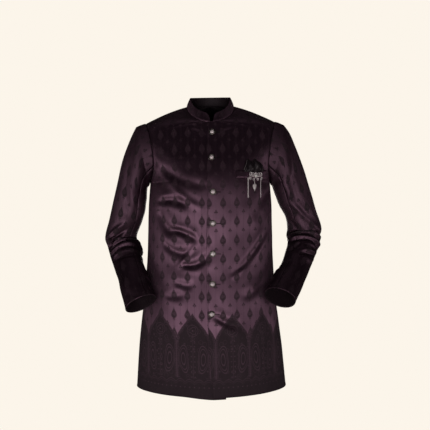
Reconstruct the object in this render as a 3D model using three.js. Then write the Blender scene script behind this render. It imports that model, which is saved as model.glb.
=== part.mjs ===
// Sherwani coat in its worn form, hollow and open at neck, hem and cuffs.
// Millimetres, +Z up, the front faces -Y, X = 0 is the centre front line.
// Z = 0 is the level where the shoulder seams meet the neckline.
import * as THREE from 'three';

const WALL = 1.6; // body and sleeve cloth with its lining
const COLLAR_WALL = 2.4;
const SEAM = 0.3; // gap between pieces sewn together
const LAP_DEPTH = 2.4; // how far the under front lies behind the over front
const LAP_EASE = 42; // distance from the centre where the under front is level again
const ARMPIT = 6; // row at the underarm point
const NECK = 9; // row at the front and back neck points
const TOP = 11; // row of the shoulder seam
const TILT = 0.022; // one shoulder stands a little higher
const NECK_HALF = 75;
const NECK_FRONT_Y = -80;
const NECK_BACK_Y = 54;
const NECK_SIDE_Y = 6;
const NECK_FRONT_Z = -55;
const NECK_BACK_Z = 6;
const COLLAR_TOP_HALF = 63;
const COLLAR_TOP_FRONT_Y = -67;
const COLLAR_TOP_BACK_Y = 45;
const COLLAR_HEIGHT = 28;
const SHOULDER_RISE = 4.5; // fullness of the shoulder line halfway to the sleeve
const SIDE_COLUMNS = 8; // columns between the lap and the side seam
const CLOTH = { color: '#35252f', roughness: 0.5, metalness: 0 };

// centre line, hem to neck: front y, front z, back y, back z,
// sideways shift, lap of the over front, lap of the under front
const CENTRE = [
  [-166, -884, 150, -880, 4, 3, 36],
  [-156, -745, 140, -742, 1, 11, 36],
  [-147, -605, 126, -603, -1, 16, 36],
  [-139, -485, 110, -483, 0, 18, 34],
  [-139, -400, 107, -400, 0, 18, 34],
  [-142, -315, 118, -310, 0, 16, 36],
  [-140, -236, 128, -230, 0, 16, 36],
  [-127, -170, 124, -150, 0, 16, 36],
  [-104, -110, 96, -66, 0, 16, 36],
  [-80, -55, 54, 6, 0, 6, 18],
];

// side seam, hem to underarm: half width, y, z
const SIDE = [
  [234, 4, -876],
  [223, 4, -740],
  [207, 4, -602],
  [198, 4, -482],
  [195.5, 4, -400],
  [193.5, 4, -316],
  [189, 5, -242],
];

// armhole, underarm up the front, over the shoulder, down the back: x, y, z
const ARMHOLE = [
  [189, 5, -242],
  [178, -50, -197],
  [181, -65, -142],
  [190, -50, -92],
  [199, -22, -62],
  [203, 8, -51],
  [201, 34, -62],
  [194, 56, -90],
  [184, 66, -138],
  [180, 56, -194],
];

// how far each row turns from the centre line to its side edge, in degrees
const TURN_FRONT = [90, 90, 90, 90, 90, 90, 86, 64, 54, 46, 30, 12];
const TURN_BACK = [90, 90, 90, 90, 90, 90, 86, 66, 58, 48, 30, 12];

// sleeve rings, shoulder to cuff: outer x, outer z, inner x, inner z, y, half depth
const SLEEVE_RIGHT = [
  [233, -66, 192, -250, 6, 70],
  [249, -100, 197, -257, 6, 72],
  [266, -144, 198.5, -273, 7, 71],
  [281, -194, 200, -290, 9, 69],
  [293, -248, 203, -310, 12, 67],
  [306, -304, 207, -336, 16, 64],
  [319, -358, 215, -364, 22, 61],
  [332, -413, 232, -410, 28, 58],
  [322, -442, 219, -434, 19, 54],
  [315, -464, 218, -444, 8, 54],
  [297, -512, 210, -488, -30, 51],
  [281, -553, 196, -521, -62, 49],
  [274, -580, 190, -545, -84, 47],
  [258, -630, 169, -587, -112, 46],
];
const SLEEVE_LEFT = [
  [233, -57, 192, -246, 6, 70],
  [250, -82, 198, -251, 6, 72],
  [266, -120, 202, -262, 7, 71],
  [284, -163, 206, -275, 9, 69],
  [302, -211, 213, -292, 12, 67],
  [319, -262, 223, -316, 16, 64],
  [336, -322, 241, -348, 20, 61],
  [356, -382, 248, -388, 26, 58],
  [351, -412, 245, -409, 22, 55],
  [348, -436, 248, -425, 10, 54],
  [326, -480, 234, -462, -18, 51],
  [304, -520, 215, -502, -48, 49],
  [280, -560, 192, -530, -82, 47],
  [248, -612, 160, -571, -125, 46],
];
const SLEEVE_STEPS = [
  0, 0.5, 1, 1.6, 2.3, 3, 4, 5, 6, 7, 8, 9, 9.7, 10.3, 10.9, 11.5, 12.1, 12.7, 13.4, 14,
];
const FRONT_SEAM = 8; // loop places where the two sleeve pieces are sewn together
const BACK_SEAM = 17;

// largest folds: front or back, start x, z, end x, z, half width, depth (out is plus)
const FOLDS = [
  ['front', -168, -215, -62, -330, 24, -5],
  ['front', -160, -345, -52, -415, 24, -5],
  ['front', -150, -400, -60, -490, 22, 4],
  ['front', 160, -420, 108, -520, 24, -5],
  ['front', 168, -300, 110, -380, 24, 3],
  ['front', -150, -600, -128, -860, 34, 5],
  ['front', 165, -620, 182, -860, 34, -5],
  ['back', -150, -230, -60, -340, 26, -5],
  ['back', 155, -250, 70, -330, 24, -4],
  ['back', -130, -440, 10, -470, 22, -5],
  ['back', 140, -410, 30, -445, 20, -4],
  ['back', -120, -560, -150, -860, 34, 6],
  ['back', 95, -570, 118, -860, 30, -6],
];

const radians = (degrees) => (degrees * Math.PI) / 180;
const mix = (a, b, f) => a + (b - a) * f;

function ease(f) {
  const g = Math.min(1, Math.max(0, f));
  return g * g * (3 - 2 * g);
}

// Smooth curve through rows of numbers; a closed one runs round to its start.
function curve(rows, t, closed = false) {
  const n = rows.length;
  const k = closed ? Math.floor(t) : Math.min(n - 2, Math.max(0, Math.floor(t)));
  const f = t - k;
  const at = (i) => {
    if (closed) return rows[((i % n) + n) % n];
    return rows[Math.min(n - 1, Math.max(0, i))];
  };
  const [a, b, c, d] = [at(k - 1), at(k), at(k + 1), at(k + 2)];
  return b.map((value, i) => {
    const p = (c[i] - a[i]) / 2;
    const q = (d[i] - value) / 2;
    const rise = c[i] - value;
    return value + f * (p + f * (3 * rise - 2 * p - q + f * (p + q - 2 * rise)));
  });
}

// Neckline, 0 degrees at the centre front, 90 at the shoulder, 180 at the back.
function neckline(degrees) {
  const c = Math.cos(radians(degrees));
  const depth = c > 0 ? NECK_SIDE_Y - NECK_FRONT_Y : NECK_BACK_Y - NECK_SIDE_Y;
  const rise = c > 0 ? NECK_FRONT_Z : -NECK_BACK_Z;
  return [NECK_HALF * Math.sin(radians(degrees)), NECK_SIDE_Y - depth * c, rise * c];
}

function foldDepth(face, x, z) {
  let sum = 0;
  for (const [where, x0, z0, x1, z1, half, depth] of FOLDS) {
    if (where !== face) continue;
    const length = Math.hypot(x1 - x0, z1 - z0);
    const along = ((x - x0) * (x1 - x0) + (z - z0) * (z1 - z0)) / length ** 2;
    const across = ((x - x0) * (z1 - z0) - (z - z0) * (x1 - x0)) / length;
    const fade = ease((along + 0.25) / 0.4) * ease((1.25 - along) / 0.4);
    sum += depth * fade * Math.exp(-2 * (across / half) ** 2);
  }
  return sum;
}

// Bare form of the body: a row runs from the centre line to its side edge.
function form(face, side, t, turn) {
  const front = face === 'front';
  const row = curve(CENTRE, Math.min(t, NECK));
  let c = front ? [0, row[0], row[1]] : [0, row[2], row[3]];
  if (t > NECK) {
    const swing = (90 * (t - NECK)) / (TOP - NECK);
    c = neckline(front ? swing : 180 - swing);
  }
  const loop = front ? t - ARMPIT : 2 * (TOP - ARMPIT) - (t - ARMPIT);
  const r = t > ARMPIT ? curve(ARMHOLE, loop, true) : curve(SIDE, t);
  const [full] = curve((front ? TURN_FRONT : TURN_BACK).map((v) => [v]), t);
  const m = radians(full);
  const f = Math.sin(turn * m) / Math.sin(m);
  const x = side * mix(c[0], r[0], f) + row[4];
  const y = mix(c[1], r[1], (1 - Math.cos(turn * m)) / (1 - Math.cos(m)));
  const round = SHOULDER_RISE * 4 * Math.abs(f) * (1 - Math.abs(f)) * ease((t - 8) / 2);
  const z = mix(c[2], r[2], Math.abs(f)) + round;
  return new THREE.Vector3(x, y, z + TILT * x * ease((z + 330) / 260));
}

function formNormal(face, side, t, turn) {
  const up = form(face, side, Math.min(TOP, t + 0.02), turn);
  const down = form(face, side, Math.max(0, t - 0.02), turn);
  const out = form(face, side, t, turn + 0.01);
  const back = form(face, side, t, turn - 0.01);
  const n = up.sub(down).cross(out.sub(back)).normalize();
  if ((face === 'front') === side > 0) n.negate();
  return n;
}

// Point on the body cloth with its folds, moved out by a distance.
function cloth(face, side, t, turn, out = 0) {
  const p = form(face, side, t, turn);
  const n = formNormal(face, side, t, turn);
  const calm = ease((1 - Math.abs(turn)) / 0.2) * ease((8 - t) / 1.5);
  return p.addScaledVector(n, out + calm * foldDepth(face, p.x, p.z));
}

// Place on a front panel found from its x and z.
function onFront(x, z, out) {
  const side = x < 0 ? -1 : 1;
  let low = 0;
  let high = NECK;
  let turn = 0;
  for (let i = 0; i < 40; i += 1) {
    const t = (low + high) / 2;
    let near = 0;
    let far = 1;
    for (let j = 0; j < 30; j += 1) {
      turn = (near + far) / 2;
      if (side * form('front', side, t, turn).x < side * x) near = turn;
      else far = turn;
    }
    if (form('front', side, t, turn).z < z) low = t;
    else high = t;
  }
  return { p: cloth('front', side, low, turn, out), n: formNormal('front', side, low, turn) };
}

// Closed solid from an outer grid and an inner grid of the same size.
function solid(outer, inner) {
  const rows = outer.length;
  const cols = outer[0].length;
  const position = [...outer.flat(), ...inner.flat()].flatMap((p) => [p.x, p.y, p.z]);
  const index = [];
  const id = (layer, i, j) => layer * rows * cols + i * cols + j;
  const quad = (a, b, c, d) => index.push(a, b, c, a, c, d);
  for (let i = 0; i < rows - 1; i += 1) {
    for (let j = 0; j < cols - 1; j += 1) {
      quad(id(0, i, j), id(0, i, j + 1), id(0, i + 1, j + 1), id(0, i + 1, j));
      quad(id(1, i, j), id(1, i + 1, j), id(1, i + 1, j + 1), id(1, i, j + 1));
    }
  }
  for (let j = 0; j < cols - 1; j += 1) {
    quad(id(0, 0, j), id(1, 0, j), id(1, 0, j + 1), id(0, 0, j + 1));
    quad(id(0, rows - 1, j + 1), id(1, rows - 1, j + 1), id(1, rows - 1, j), id(0, rows - 1, j));
  }
  for (let i = 0; i < rows - 1; i += 1) {
    quad(id(0, i + 1, 0), id(1, i + 1, 0), id(1, i, 0), id(0, i, 0));
    quad(id(1, i, cols - 1), id(1, i + 1, cols - 1), id(0, i + 1, cols - 1), id(0, i, cols - 1));
  }
  const geometry = new THREE.BufferGeometry();
  geometry.setAttribute('position', new THREE.Float32BufferAttribute(position, 3));
  geometry.setIndex(index);
  geometry.computeVertexNormals();
  return geometry;
}

const lay = (grid, normals, depth) =>
  grid.map((row, i) => row.map((p, j) => p.clone().addScaledVector(normals[i][j], -depth)));

const mirrorRows = (grid) => grid.map((row) => [...row].reverse());

// Direction shared by body and sleeve at the armhole, so both rims meet evenly.
function armholeNormal(side, p) {
  const y = (p.y - 4) / 66;
  const z = (p.z + 146) / 95;
  const outward = 0.25 + 1.1 * ease((-z - 0.2) / 0.8);
  return new THREE.Vector3(side * outward, y, z).normalize();
}

const ROW_STEPS = [];
for (let i = 0; i < 2 * NECK; i += 1) ROW_STEPS.push(i / 2);
for (let i = 0; i <= 6; i += 1) ROW_STEPS.push(NECK + (i * (TOP - NECK)) / 6);

// Turns of one row: first the lap, then even steps to the side edge.
function columns(face, t, over) {
  const row = curve(CENTRE, Math.min(t, NECK));
  const [full] = curve(TURN_FRONT.map((v) => [v]), t);
  const side = t > ARMPIT ? curve(ARMHOLE, t - ARMPIT, true) : curve(SIDE, t);
  const m = radians(full);
  const asTurn = (x) => Math.asin((x / side[0]) * Math.sin(m)) / m;
  let start = [0, 0.09, 0.19, 0.3];
  if (face === 'front') {
    const [e, u] = [row[5], row[6]];
    start = (over ? [-e, 0, u / 2, u] : [-u, -u / 2, 0, e + 1, LAP_EASE]).map(asTurn);
  }
  const list = [...start];
  const last = start[start.length - 1];
  const steps = SIDE_COLUMNS + 4 - start.length;
  for (let i = 1; i <= steps; i += 1) list.push(mix(last, 1, i / steps));
  if (t <= NECK) return list;
  const blend = Math.min(1, (t - NECK) / 0.8);
  return list.map((v, i) => (i === 0 ? 0 : mix(Math.max(v, 0), i / (list.length - 1), blend)));
}

function bodyPanel(face, side, over) {
  const outer = [];
  const normals = [];
  for (const t of ROW_STEPS) {
    const turns = columns(face, t, over);
    const points = [];
    const directions = [];
    turns.forEach((turn, j) => {
      const n = formNormal(face, side, t, turn);
      if (t === TOP) n.set(-side * -0.37, 0, 0.93).normalize();
      let out = 0;
      if (face === 'front' && !over) {
        const x = side * form(face, side, t, turn).x;
        out = -LAP_DEPTH * ease((LAP_EASE - x) / (LAP_EASE - 18));
      }
      const p = cloth(face, side, t, turn, out);
      if (t === 0 && face === 'front' && !over) p.z -= 5 * ease((90 - side * p.x) / 90);
      if (j === turns.length - 1) {
        if (t >= ARMPIT) n.copy(armholeNormal(side, p));
        else n.set(side, 0, 0);
        if (t <= ARMPIT) p.y += (face === 'front' ? -1 : 1) * (SEAM / 2);
      }
      if (t === TOP) p.y += (face === 'front' ? -1 : 1) * (SEAM / 2);
      if (face === 'back' && j === 0 && t <= NECK) {
        p.x += side * (SEAM / 2);
        n.x = 0;
        n.normalize();
      }
      points.push(p);
      directions.push(n);
    });
    outer.push(points);
    normals.push(directions);
  }
  const inner = lay(outer, normals, WALL);
  const flip = (face === 'front') !== side > 0;
  return flip ? solid(mirrorRows(outer), mirrorRows(inner)) : solid(outer, inner);
}

// Armhole places shared with the sleeve: over the top, down the front, up the back.
function armholeLoop(side) {
  const upper = ROW_STEPS.filter((t) => t >= ARMPIT);
  const down = [...upper].reverse().map((t) => ['front', t]);
  const up = upper.slice(1).map((t) => ['back', t]);
  return [...down, ...up].map(([face, t]) => form(face, side, t, 1));
}

function sleeveRing(side, table, s, loop, share) {
  const k = Math.max(0, s - 1);
  const at = (q) => {
    const [ox, oz, ix, iz, y, depth] = curve(table, Math.min(table.length - 1, Math.max(0, q)));
    const middle = new THREE.Vector3((side * (ox + ix)) / 2, y, (oz + iz) / 2);
    const reach = new THREE.Vector3((side * (ox - ix)) / 2, 0, (oz - iz) / 2);
    return { middle, reach, depth };
  };
  const { middle, reach, depth } = at(k);
  const axis = at(k + 0.6).middle.sub(at(k - 0.6).middle).normalize();
  const across = axis.clone().cross(reach).normalize().multiplyScalar(depth);
  if (across.y > 0) across.negate();
  return share.map((angle, i) => {
    const p = middle.clone().addScaledVector(reach, Math.cos(angle));
    p.addScaledVector(across, Math.sin(angle));
    if (s >= 1) return p;
    const start = loop[i].clone();
    start.x += side * SEAM;
    const f = ease(s);
    return start.lerp(p, f);
  });
}

function sleeveGrid(side, table) {
  const loop = armholeLoop(side);
  const lengths = [0];
  for (let i = 1; i < loop.length; i += 1) {
    lengths.push(lengths[i - 1] + loop[i].distanceTo(loop[i - 1]));
  }
  const whole = lengths[lengths.length - 1];
  const share = lengths.map((l) => (2 * Math.PI * l) / whole);
  const rings = SLEEVE_STEPS.map((s) => sleeveRing(side, table, s, loop, share));
  const n = loop.length - 1;
  const normals = rings.map((ring, i) =>
    ring.map((p, j) => {
      if (i === 0) return armholeNormal(side, p);
      const next = rings[Math.min(rings.length - 1, i + 1)][j];
      const before = rings[i - 1][j];
      const along = next.clone().sub(before);
      const round = ring[(j + 1) % n].clone().sub(ring[(j - 1 + n) % n]);
      const out = along.cross(round).normalize();
      return side > 0 ? out.negate() : out;
    }),
  );
  return { rings, normals };
}

function sleevePiece(side, table, from, to) {
  const { rings, normals } = sleeveGrid(side, table);
  const n = rings[0].length - 1;
  const pick = (grid) => {
    const list = [];
    for (const ring of grid) {
      const row = [];
      for (let j = from; j <= to; j += 1) row.push(ring[((j % n) + n) % n].clone());
      list.push(row);
    }
    return list;
  };
  const outer = pick(rings);
  const direction = pick(normals);
  outer.forEach((row) => {
    const first = row[1].clone().sub(row[0]).setLength(SEAM / 2);
    const last = row[row.length - 2].clone().sub(row[row.length - 1]).setLength(SEAM / 2);
    row[0].add(first);
    row[row.length - 1].add(last);
  });
  const inner = lay(outer, direction, WALL);
  return side < 0 ? solid(mirrorRows(outer), mirrorRows(inner)) : solid(outer, inner);
}

// Stand collar: a band on the neckline, leaning in, open at the front.
function collarBand() {
  const places = [4.4, 10];
  for (let a = 15; a < 350; a += 15) places.push(a);
  places.push(350, 356.2);
  const outer = [];
  const normals = [];
  for (const v of [0, 0.5, 0.9, 1]) {
    const row = [];
    const directions = [];
    for (const a of places) {
      const side = a > 180 ? -1 : 1;
      const base = neckline(side > 0 ? a : 360 - a);
      const end = Math.min(Math.abs(a - 4.4), Math.abs(356.2 - a));
      const top = a + side * 5.5 * v * ease(1 - end / 24);
      const c = Math.cos(radians(top));
      const y = c > 0 ? COLLAR_TOP_FRONT_Y : COLLAR_TOP_BACK_Y;
      const x1 = COLLAR_TOP_HALF * Math.sin(radians(top));
      const y1 = mix(NECK_SIDE_Y - 2, y, Math.abs(c));
      const rise = COLLAR_HEIGHT - 3 * (1 - ease(end / 9));
      const x = mix(side * base[0], x1, v);
      const z = base[2] + SEAM + 0.1 + rise * v;
      row.push(new THREE.Vector3(x, mix(base[1], y1, v), z + TILT * x * ease((z + 330) / 260)));
      directions.push(new THREE.Vector3(Math.sin(radians(a)) * 86, -c * 75, 0).normalize());
    }
    outer.push(row);
    normals.push(directions);
  }
  return solid(outer, lay(outer, normals, COLLAR_WALL));
}

// Breast pocket welt on the over front: corners as x and z.
const WELT = { left: 72, right: 173, topLeft: -208, topRight: -203.5, bottom: -231 };
const WELT_WALL = 2.2;
const WELT_OUT = 1.1;

function weltSolid() {
  const layer = (out) => {
    const grid = [];
    for (let i = 0; i <= 2; i += 1) {
      const row = [];
      for (let j = 0; j <= 10; j += 1) {
        const x = mix(WELT.left, WELT.right, j / 10);
        const top = mix(WELT.topLeft, WELT.topRight, j / 10);
        row.push(onFront(x, mix(WELT.bottom, top, i / 2), out).p);
      }
      grid.push(row);
    }
    return grid;
  };
  return solid(layer(WELT_OUT + WELT_WALL), layer(WELT_OUT));
}

// Folded square standing out of the pocket: x, top z, how far it puffs out.
const SQUARE = [
  [96, -196, 2],
  [102, -180, 6],
  [108, -175, 8],
  [116, -180, 5],
  [124, -177, 8],
  [132, -174, 9],
  [140, -179, 6],
  [148, -180, 7],
  [155, -186, 4],
  [159, -197, 2],
];

function squareSolid() {
  const layer = (inward) => {
    const grid = [];
    for (let i = 0; i <= 4; i += 1) {
      const v = i / 4;
      grid.push(
        SQUARE.map(([x, top, puff]) => {
          const bottom = mix(WELT.topLeft, WELT.topRight, (x - 72) / 101) + 0.8;
          const out = 2 + puff * Math.sin(Math.PI * (0.12 + 0.75 * v));
          return onFront(x, mix(bottom, top, v), out - inward).p;
        }),
      );
    }
    return grid;
  };
  return solid(layer(0), layer(1.4));
}

// Buttons down the front edge: x, z, turn about Z in degrees, tip about X.
const BUTTONS = [
  [1, -90, 0, 0],
  [-2, -169, 0, 0],
  [1, -273, 0, 0],
  [1, -367, 0, 0],
  [1, -458, 0, 0],
  [0, -548, 0, 0],
  [-3, -637, 12, -8],
];
// profiles from the cloth outwards: radius, height
const BEZEL = [
  [0, 0],
  [8.4, 0],
  [9.8, 0.8],
  [10, 1.8],
  [9.3, 2.9],
  [8, 3.2],
  [7.2, 2.6],
  [6.9, 1.7],
  [0, 1.7],
];
const DOME = [
  [0, 2.0],
  [6.5, 2.0],
  [6.5, 2.7],
  [5.8, 4.0],
  [4.3, 5.1],
  [2.2, 5.8],
  [0, 6.0],
];

const turned = (profile, around) =>
  new THREE.LatheGeometry(
    profile.map(([r, h]) => new THREE.Vector2(r, h)),
    around,
  );

// Brooch on the welt: a scrolled bar with a round stone.
const BROOCH = { x: 131, z: -223, half: 25, deep: 2, clear: 2.4 };

function broochPlate() {
  const lobes = [
    [-25, 4],
    [-18, 7.5],
    [-10, 5],
    [0, 10],
    [10, 5],
    [18, 7.5],
    [25, 4],
  ];
  const shape = new THREE.Shape();
  shape.moveTo(-25, 0);
  const above = [];
  const below = [];
  for (let i = 0; i <= 48; i += 1) {
    const q = (i / 48) * (lobes.length - 1);
    const [x, h] = curve(lobes, q);
    const end = Math.sqrt(Math.max(0, 1 - ((i - 24) / 24) ** 2));
    above.push([x, h * Math.min(1, 0.1 + end * 1.4)]);
    below.push([x, -(h * 0.9 + 1) * Math.min(1, 0.1 + end * 1.4)]);
  }
  above.forEach(([x, z]) => shape.lineTo(x, z));
  below.reverse().forEach(([x, z]) => shape.lineTo(x, z));
  shape.closePath();
  const geometry = new THREE.ExtrudeGeometry(shape, { depth: BROOCH.deep, bevelEnabled: false });
  return geometry.rotateX(Math.PI / 2);
}

// Hanging pieces: name, x, z of the pivot, length.
const DROP = { x: 127, z: -236, length: 33 };
const STRANDS = [
  ['chain_strand_left', 107, -229, 60, 1.5],
  ['chain_strand_right', 147, -232, 56, 1.1],
];

function strandGeometry(length, radius) {
  const links = Math.round(length / 4);
  const profile = [new THREE.Vector2(0, -length)];
  for (let i = 0; i <= links * 4; i += 1) {
    const h = -length + (length * i) / (links * 4);
    const wave = 0.62 + 0.38 * Math.cos((i * Math.PI) / 2);
    profile.push(new THREE.Vector2(radius * wave, h));
  }
  profile.push(new THREE.Vector2(0, 0));
  return new THREE.LatheGeometry(profile, 8).rotateX(Math.PI / 2);
}

function dropGeometry() {
  const half = [
    [0, 0],
    [0.9, -0.6],
    [0.9, -11],
    [2.2, -14],
    [4.4, -19],
    [4.8, -23],
    [3.6, -27],
    [1.2, -30.5],
    [0, -33],
  ];
  const shape = new THREE.Shape();
  shape.moveTo(0, 0);
  half.slice(1).forEach(([x, z]) => shape.lineTo(x, z));
  [...half].reverse().slice(1, -1).forEach(([x, z]) => shape.lineTo(-x, z));
  shape.closePath();
  const geometry = new THREE.ExtrudeGeometry(shape, { depth: 1.2, bevelEnabled: false });
  return geometry.rotateX(Math.PI / 2);
}

function build() {
  const coat = new THREE.Group();
  coat.name = 'sherwani_coat';
  const add = (name, geometry, look) => {
    const mesh = new THREE.Mesh(geometry, new THREE.MeshStandardMaterial({ ...look, name }));
    mesh.name = name;
    coat.add(mesh);
    return mesh;
  };
  // stand a piece upright over the welt at a given x, its face along the cloth's outward way
  const seat = (mesh, x, lift) => {
    let place = onFront(x, BROOCH.z, WELT_OUT + WELT_WALL);
    const out = new THREE.Vector3();
    for (let i = 0; i < 4; i += 1) {
      out.set(place.n.x, place.n.y, 0).normalize();
      place = onFront(x - lift * out.x, BROOCH.z, WELT_OUT + WELT_WALL);
    }
    const right = new THREE.Vector3(-out.y, out.x, 0);
    const frame = new THREE.Matrix4();
    frame.makeBasis(right, out.clone().negate(), new THREE.Vector3(0, 0, 1));
    mesh.quaternion.setFromRotationMatrix(frame);
    mesh.position.copy(place.p).addScaledVector(out, lift);
    mesh.position.z = BROOCH.z;
    return mesh;
  };

  add('front_left', bodyPanel('front', 1, true), CLOTH);
  add('front_right', bodyPanel('front', -1, false), CLOTH);
  add('back_left', bodyPanel('back', 1, true), CLOTH);
  add('back_right', bodyPanel('back', -1, true), CLOTH);
  const around = armholeLoop(1).length - 1;
  for (const [word, side, table] of [['left', 1, SLEEVE_LEFT], ['right', -1, SLEEVE_RIGHT]]) {
    add(`sleeve_upper_${word}`, sleevePiece(side, table, BACK_SEAM - around, FRONT_SEAM), CLOTH);
    add(`sleeve_under_${word}`, sleevePiece(side, table, FRONT_SEAM, BACK_SEAM), CLOTH);
  }
  add('collar', collarBand(), CLOTH);
  add('pocket_welt', weltSolid(), CLOTH);
  add('pocket_square', squareSolid(), { color: '#241a20', roughness: 0.45, metalness: 0 });

  BUTTONS.forEach(([x, z, turn, tip], i) => {
    const place = onFront(Math.max(x, 0.5), z, 0);
    place.p.x = x;
    const lift = 0.45 + Math.abs(turn) * 0.2;
    const steel = { color: '#4a4540', roughness: 0.35, metalness: 1 };
    const bright = { color: '#c9c9cc', roughness: 0.15, metalness: 1 };
    const bezel = add(`button_${i + 1}_bezel`, turned(BEZEL, 24), steel);
    const dome = add(`button_${i + 1}_dome`, turned(DOME, 24), bright);
    for (const mesh of [bezel, dome]) {
      mesh.geometry.rotateX(Math.PI + radians(tip));
      mesh.geometry.rotateZ(radians(turn));
      const slope = Math.atan2(place.n.z, -place.n.y);
      mesh.position.copy(place.p).addScaledVector(place.n, lift);
      mesh.rotation.x = -slope;
    }
  });

  const silver = { color: '#b9b8b6', roughness: 0.3, metalness: 1 };
  seat(add('brooch_plate', broochPlate(), silver), BROOCH.x, BROOCH.clear);
  const stone = new THREE.SphereGeometry(4, 20, 14);
  const pearl = add('brooch_stone', stone, { color: '#e4e0da', roughness: 0.2, metalness: 0 });
  seat(pearl, BROOCH.x, BROOCH.clear + BROOCH.deep + 4.35);
  const hang = BROOCH.clear + BROOCH.deep + 0.9;
  const drop = seat(add('brooch_drop', dropGeometry(), silver), DROP.x, hang + 1.2);
  drop.position.z = DROP.z;
  for (const [name, x, z, length, radius] of STRANDS) {
    const strand = seat(add(name, strandGeometry(length, radius), silver), x, hang + 2.6);
    strand.position.z = z;
  }
  return coat;
}

export default build();
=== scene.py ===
import math

import bmesh
import bpy
import numpy as np
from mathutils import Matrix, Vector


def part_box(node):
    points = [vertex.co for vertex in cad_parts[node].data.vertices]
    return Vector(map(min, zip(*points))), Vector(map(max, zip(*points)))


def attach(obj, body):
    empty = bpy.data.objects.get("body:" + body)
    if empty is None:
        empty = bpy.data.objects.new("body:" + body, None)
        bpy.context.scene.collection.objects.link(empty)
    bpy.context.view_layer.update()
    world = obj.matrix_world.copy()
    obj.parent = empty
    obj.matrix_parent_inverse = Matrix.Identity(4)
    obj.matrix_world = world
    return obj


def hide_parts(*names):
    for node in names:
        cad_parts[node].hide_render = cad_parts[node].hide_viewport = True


bl_info = {
    "name": "Sherwani coat",
    "version": (1, 0, 0),
    "blender": (4, 5, 0),
    "location": "3D View > Sidebar > Sherwani",
    "description": "Makes a short sherwani coat in its worn form from its sizes and cut",
    "category": "Add Mesh",
}

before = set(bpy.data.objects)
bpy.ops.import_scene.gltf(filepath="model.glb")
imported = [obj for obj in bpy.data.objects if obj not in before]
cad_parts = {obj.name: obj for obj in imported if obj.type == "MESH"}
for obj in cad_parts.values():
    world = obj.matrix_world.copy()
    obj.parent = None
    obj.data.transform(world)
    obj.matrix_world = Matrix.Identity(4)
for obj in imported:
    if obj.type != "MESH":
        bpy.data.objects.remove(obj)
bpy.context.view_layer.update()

# ---------------------------------------------------------------- sizes, in millimetres

MM = 0.001
ARMPIT = 6  # row at the underarm point
NECK = 9  # row at the neck points
TOP = 11  # row of the shoulder seam
TILT = 0.022  # one shoulder stands a little higher
SEAM = 0.3
SHOULDER_RISE = 4.5  # fullness of the shoulder line halfway to the sleeve
LAP_DEPTH = 2.4  # the under front lies this far back
LAP_EASE = 42  # and comes forward again by this far from the centre
EDGE_SINK = 0.9  # a sewn edge sinks into its seam
EDGE_WIDTH = 3.0
HEM_FULL = 2.0  # the turned hem is fullest just over its edge
HEM_STITCH = 34.0  # and is stitched this far up
CUFF_STITCH = 30.0
STITCH_WIDTH = 2.2
SLEEVE_HEAD = 16.0  # the sleeve head is fullest this far from its seam
BODY_RETURN = 0.18  # how far the cloth beside a body crease comes back
NECK_HALF = 75
NECK_FRONT = (-80, -55)  # y, z of the front neck point
NECK_BACK = (54, 6)
NECK_SIDE_Y = 6
COLLAR_TOP = (63, -67, 45)  # half width, front y, back y of the collar's top edge
COLLAR_HEIGHT = 28
COAT_LENGTH = 884

# centre line, hem to neck: front y, front z, back y, back z,
# sideways shift, lap of the over front, lap of the under front
CENTRE = [
    (-166, -884, 150, -880, 4, 3, 36),
    (-156, -745, 140, -742, 1, 11, 36),
    (-147, -605, 126, -603, -1, 16, 36),
    (-139, -485, 110, -483, 0, 18, 34),
    (-139, -400, 107, -400, 0, 18, 34),
    (-142, -315, 118, -310, 0, 16, 36),
    (-140, -236, 128, -230, 0, 16, 36),
    (-127, -170, 124, -150, 0, 16, 36),
    (-104, -110, 96, -66, 0, 16, 36),
    (-80, -55, 54, 6, 0, 6, 18),
]
# side seam, hem to underarm: half width, y, z
SIDE = [
    (234, 4, -876),
    (223, 4, -740),
    (207, 4, -602),
    (198, 4, -482),
    (195.5, 4, -400),
    (193.5, 4, -316),
    (189, 5, -242),
]
# armhole, underarm up the front, over the shoulder, down the back: x, y, z
ARMHOLE = [
    (189, 5, -242),
    (178, -50, -197),
    (181, -65, -142),
    (190, -50, -92),
    (199, -22, -62),
    (203, 8, -51),
    (201, 34, -62),
    (194, 56, -90),
    (184, 66, -138),
    (180, 56, -194),
]
# how far each row turns from the centre line to its side edge, in degrees
TURN_FRONT = [90, 90, 90, 90, 90, 90, 86, 64, 54, 46, 30, 12]
TURN_BACK = [90, 90, 90, 90, 90, 90, 86, 66, 58, 48, 30, 12]
# rings of a sleeve, shoulder to cuff: outer x, outer z, inner x, inner z, y, half depth
SLEEVE_RIGHT = [
    (233, -66, 192, -250, 6, 70),
    (249, -100, 197, -257, 6, 72),
    (266, -144, 198.5, -273, 7, 71),
    (281, -194, 200, -290, 9, 69),
    (293, -248, 203, -310, 12, 67),
    (306, -304, 207, -336, 16, 64),
    (319, -358, 215, -364, 22, 61),
    (332, -413, 232, -410, 28, 58),
    (322, -442, 219, -434, 19, 54),
    (315, -464, 218, -444, 8, 54),
    (297, -512, 210, -488, -30, 51),
    (281, -553, 196, -521, -62, 49),
    (274, -580, 190, -545, -84, 47),
    (258, -630, 169, -587, -112, 46),
]
SLEEVE_LEFT = [
    (233, -57, 192, -246, 6, 70),
    (250, -82, 198, -251, 6, 72),
    (266, -120, 202, -262, 7, 71),
    (284, -163, 206, -275, 9, 69),
    (302, -211, 213, -292, 12, 67),
    (319, -262, 223, -316, 16, 64),
    (336, -322, 241, -348, 20, 61),
    (356, -382, 248, -388, 26, 58),
    (351, -412, 245, -409, 22, 55),
    (348, -436, 248, -425, 10, 54),
    (326, -480, 234, -462, -18, 51),
    (304, -520, 215, -502, -48, 49),
    (280, -560, 192, -530, -82, 47),
    (248, -612, 160, -571, -125, 46),
]
SLEEVE_FRONT_SEAM = 128  # degrees round the arm from its outer side
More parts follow.
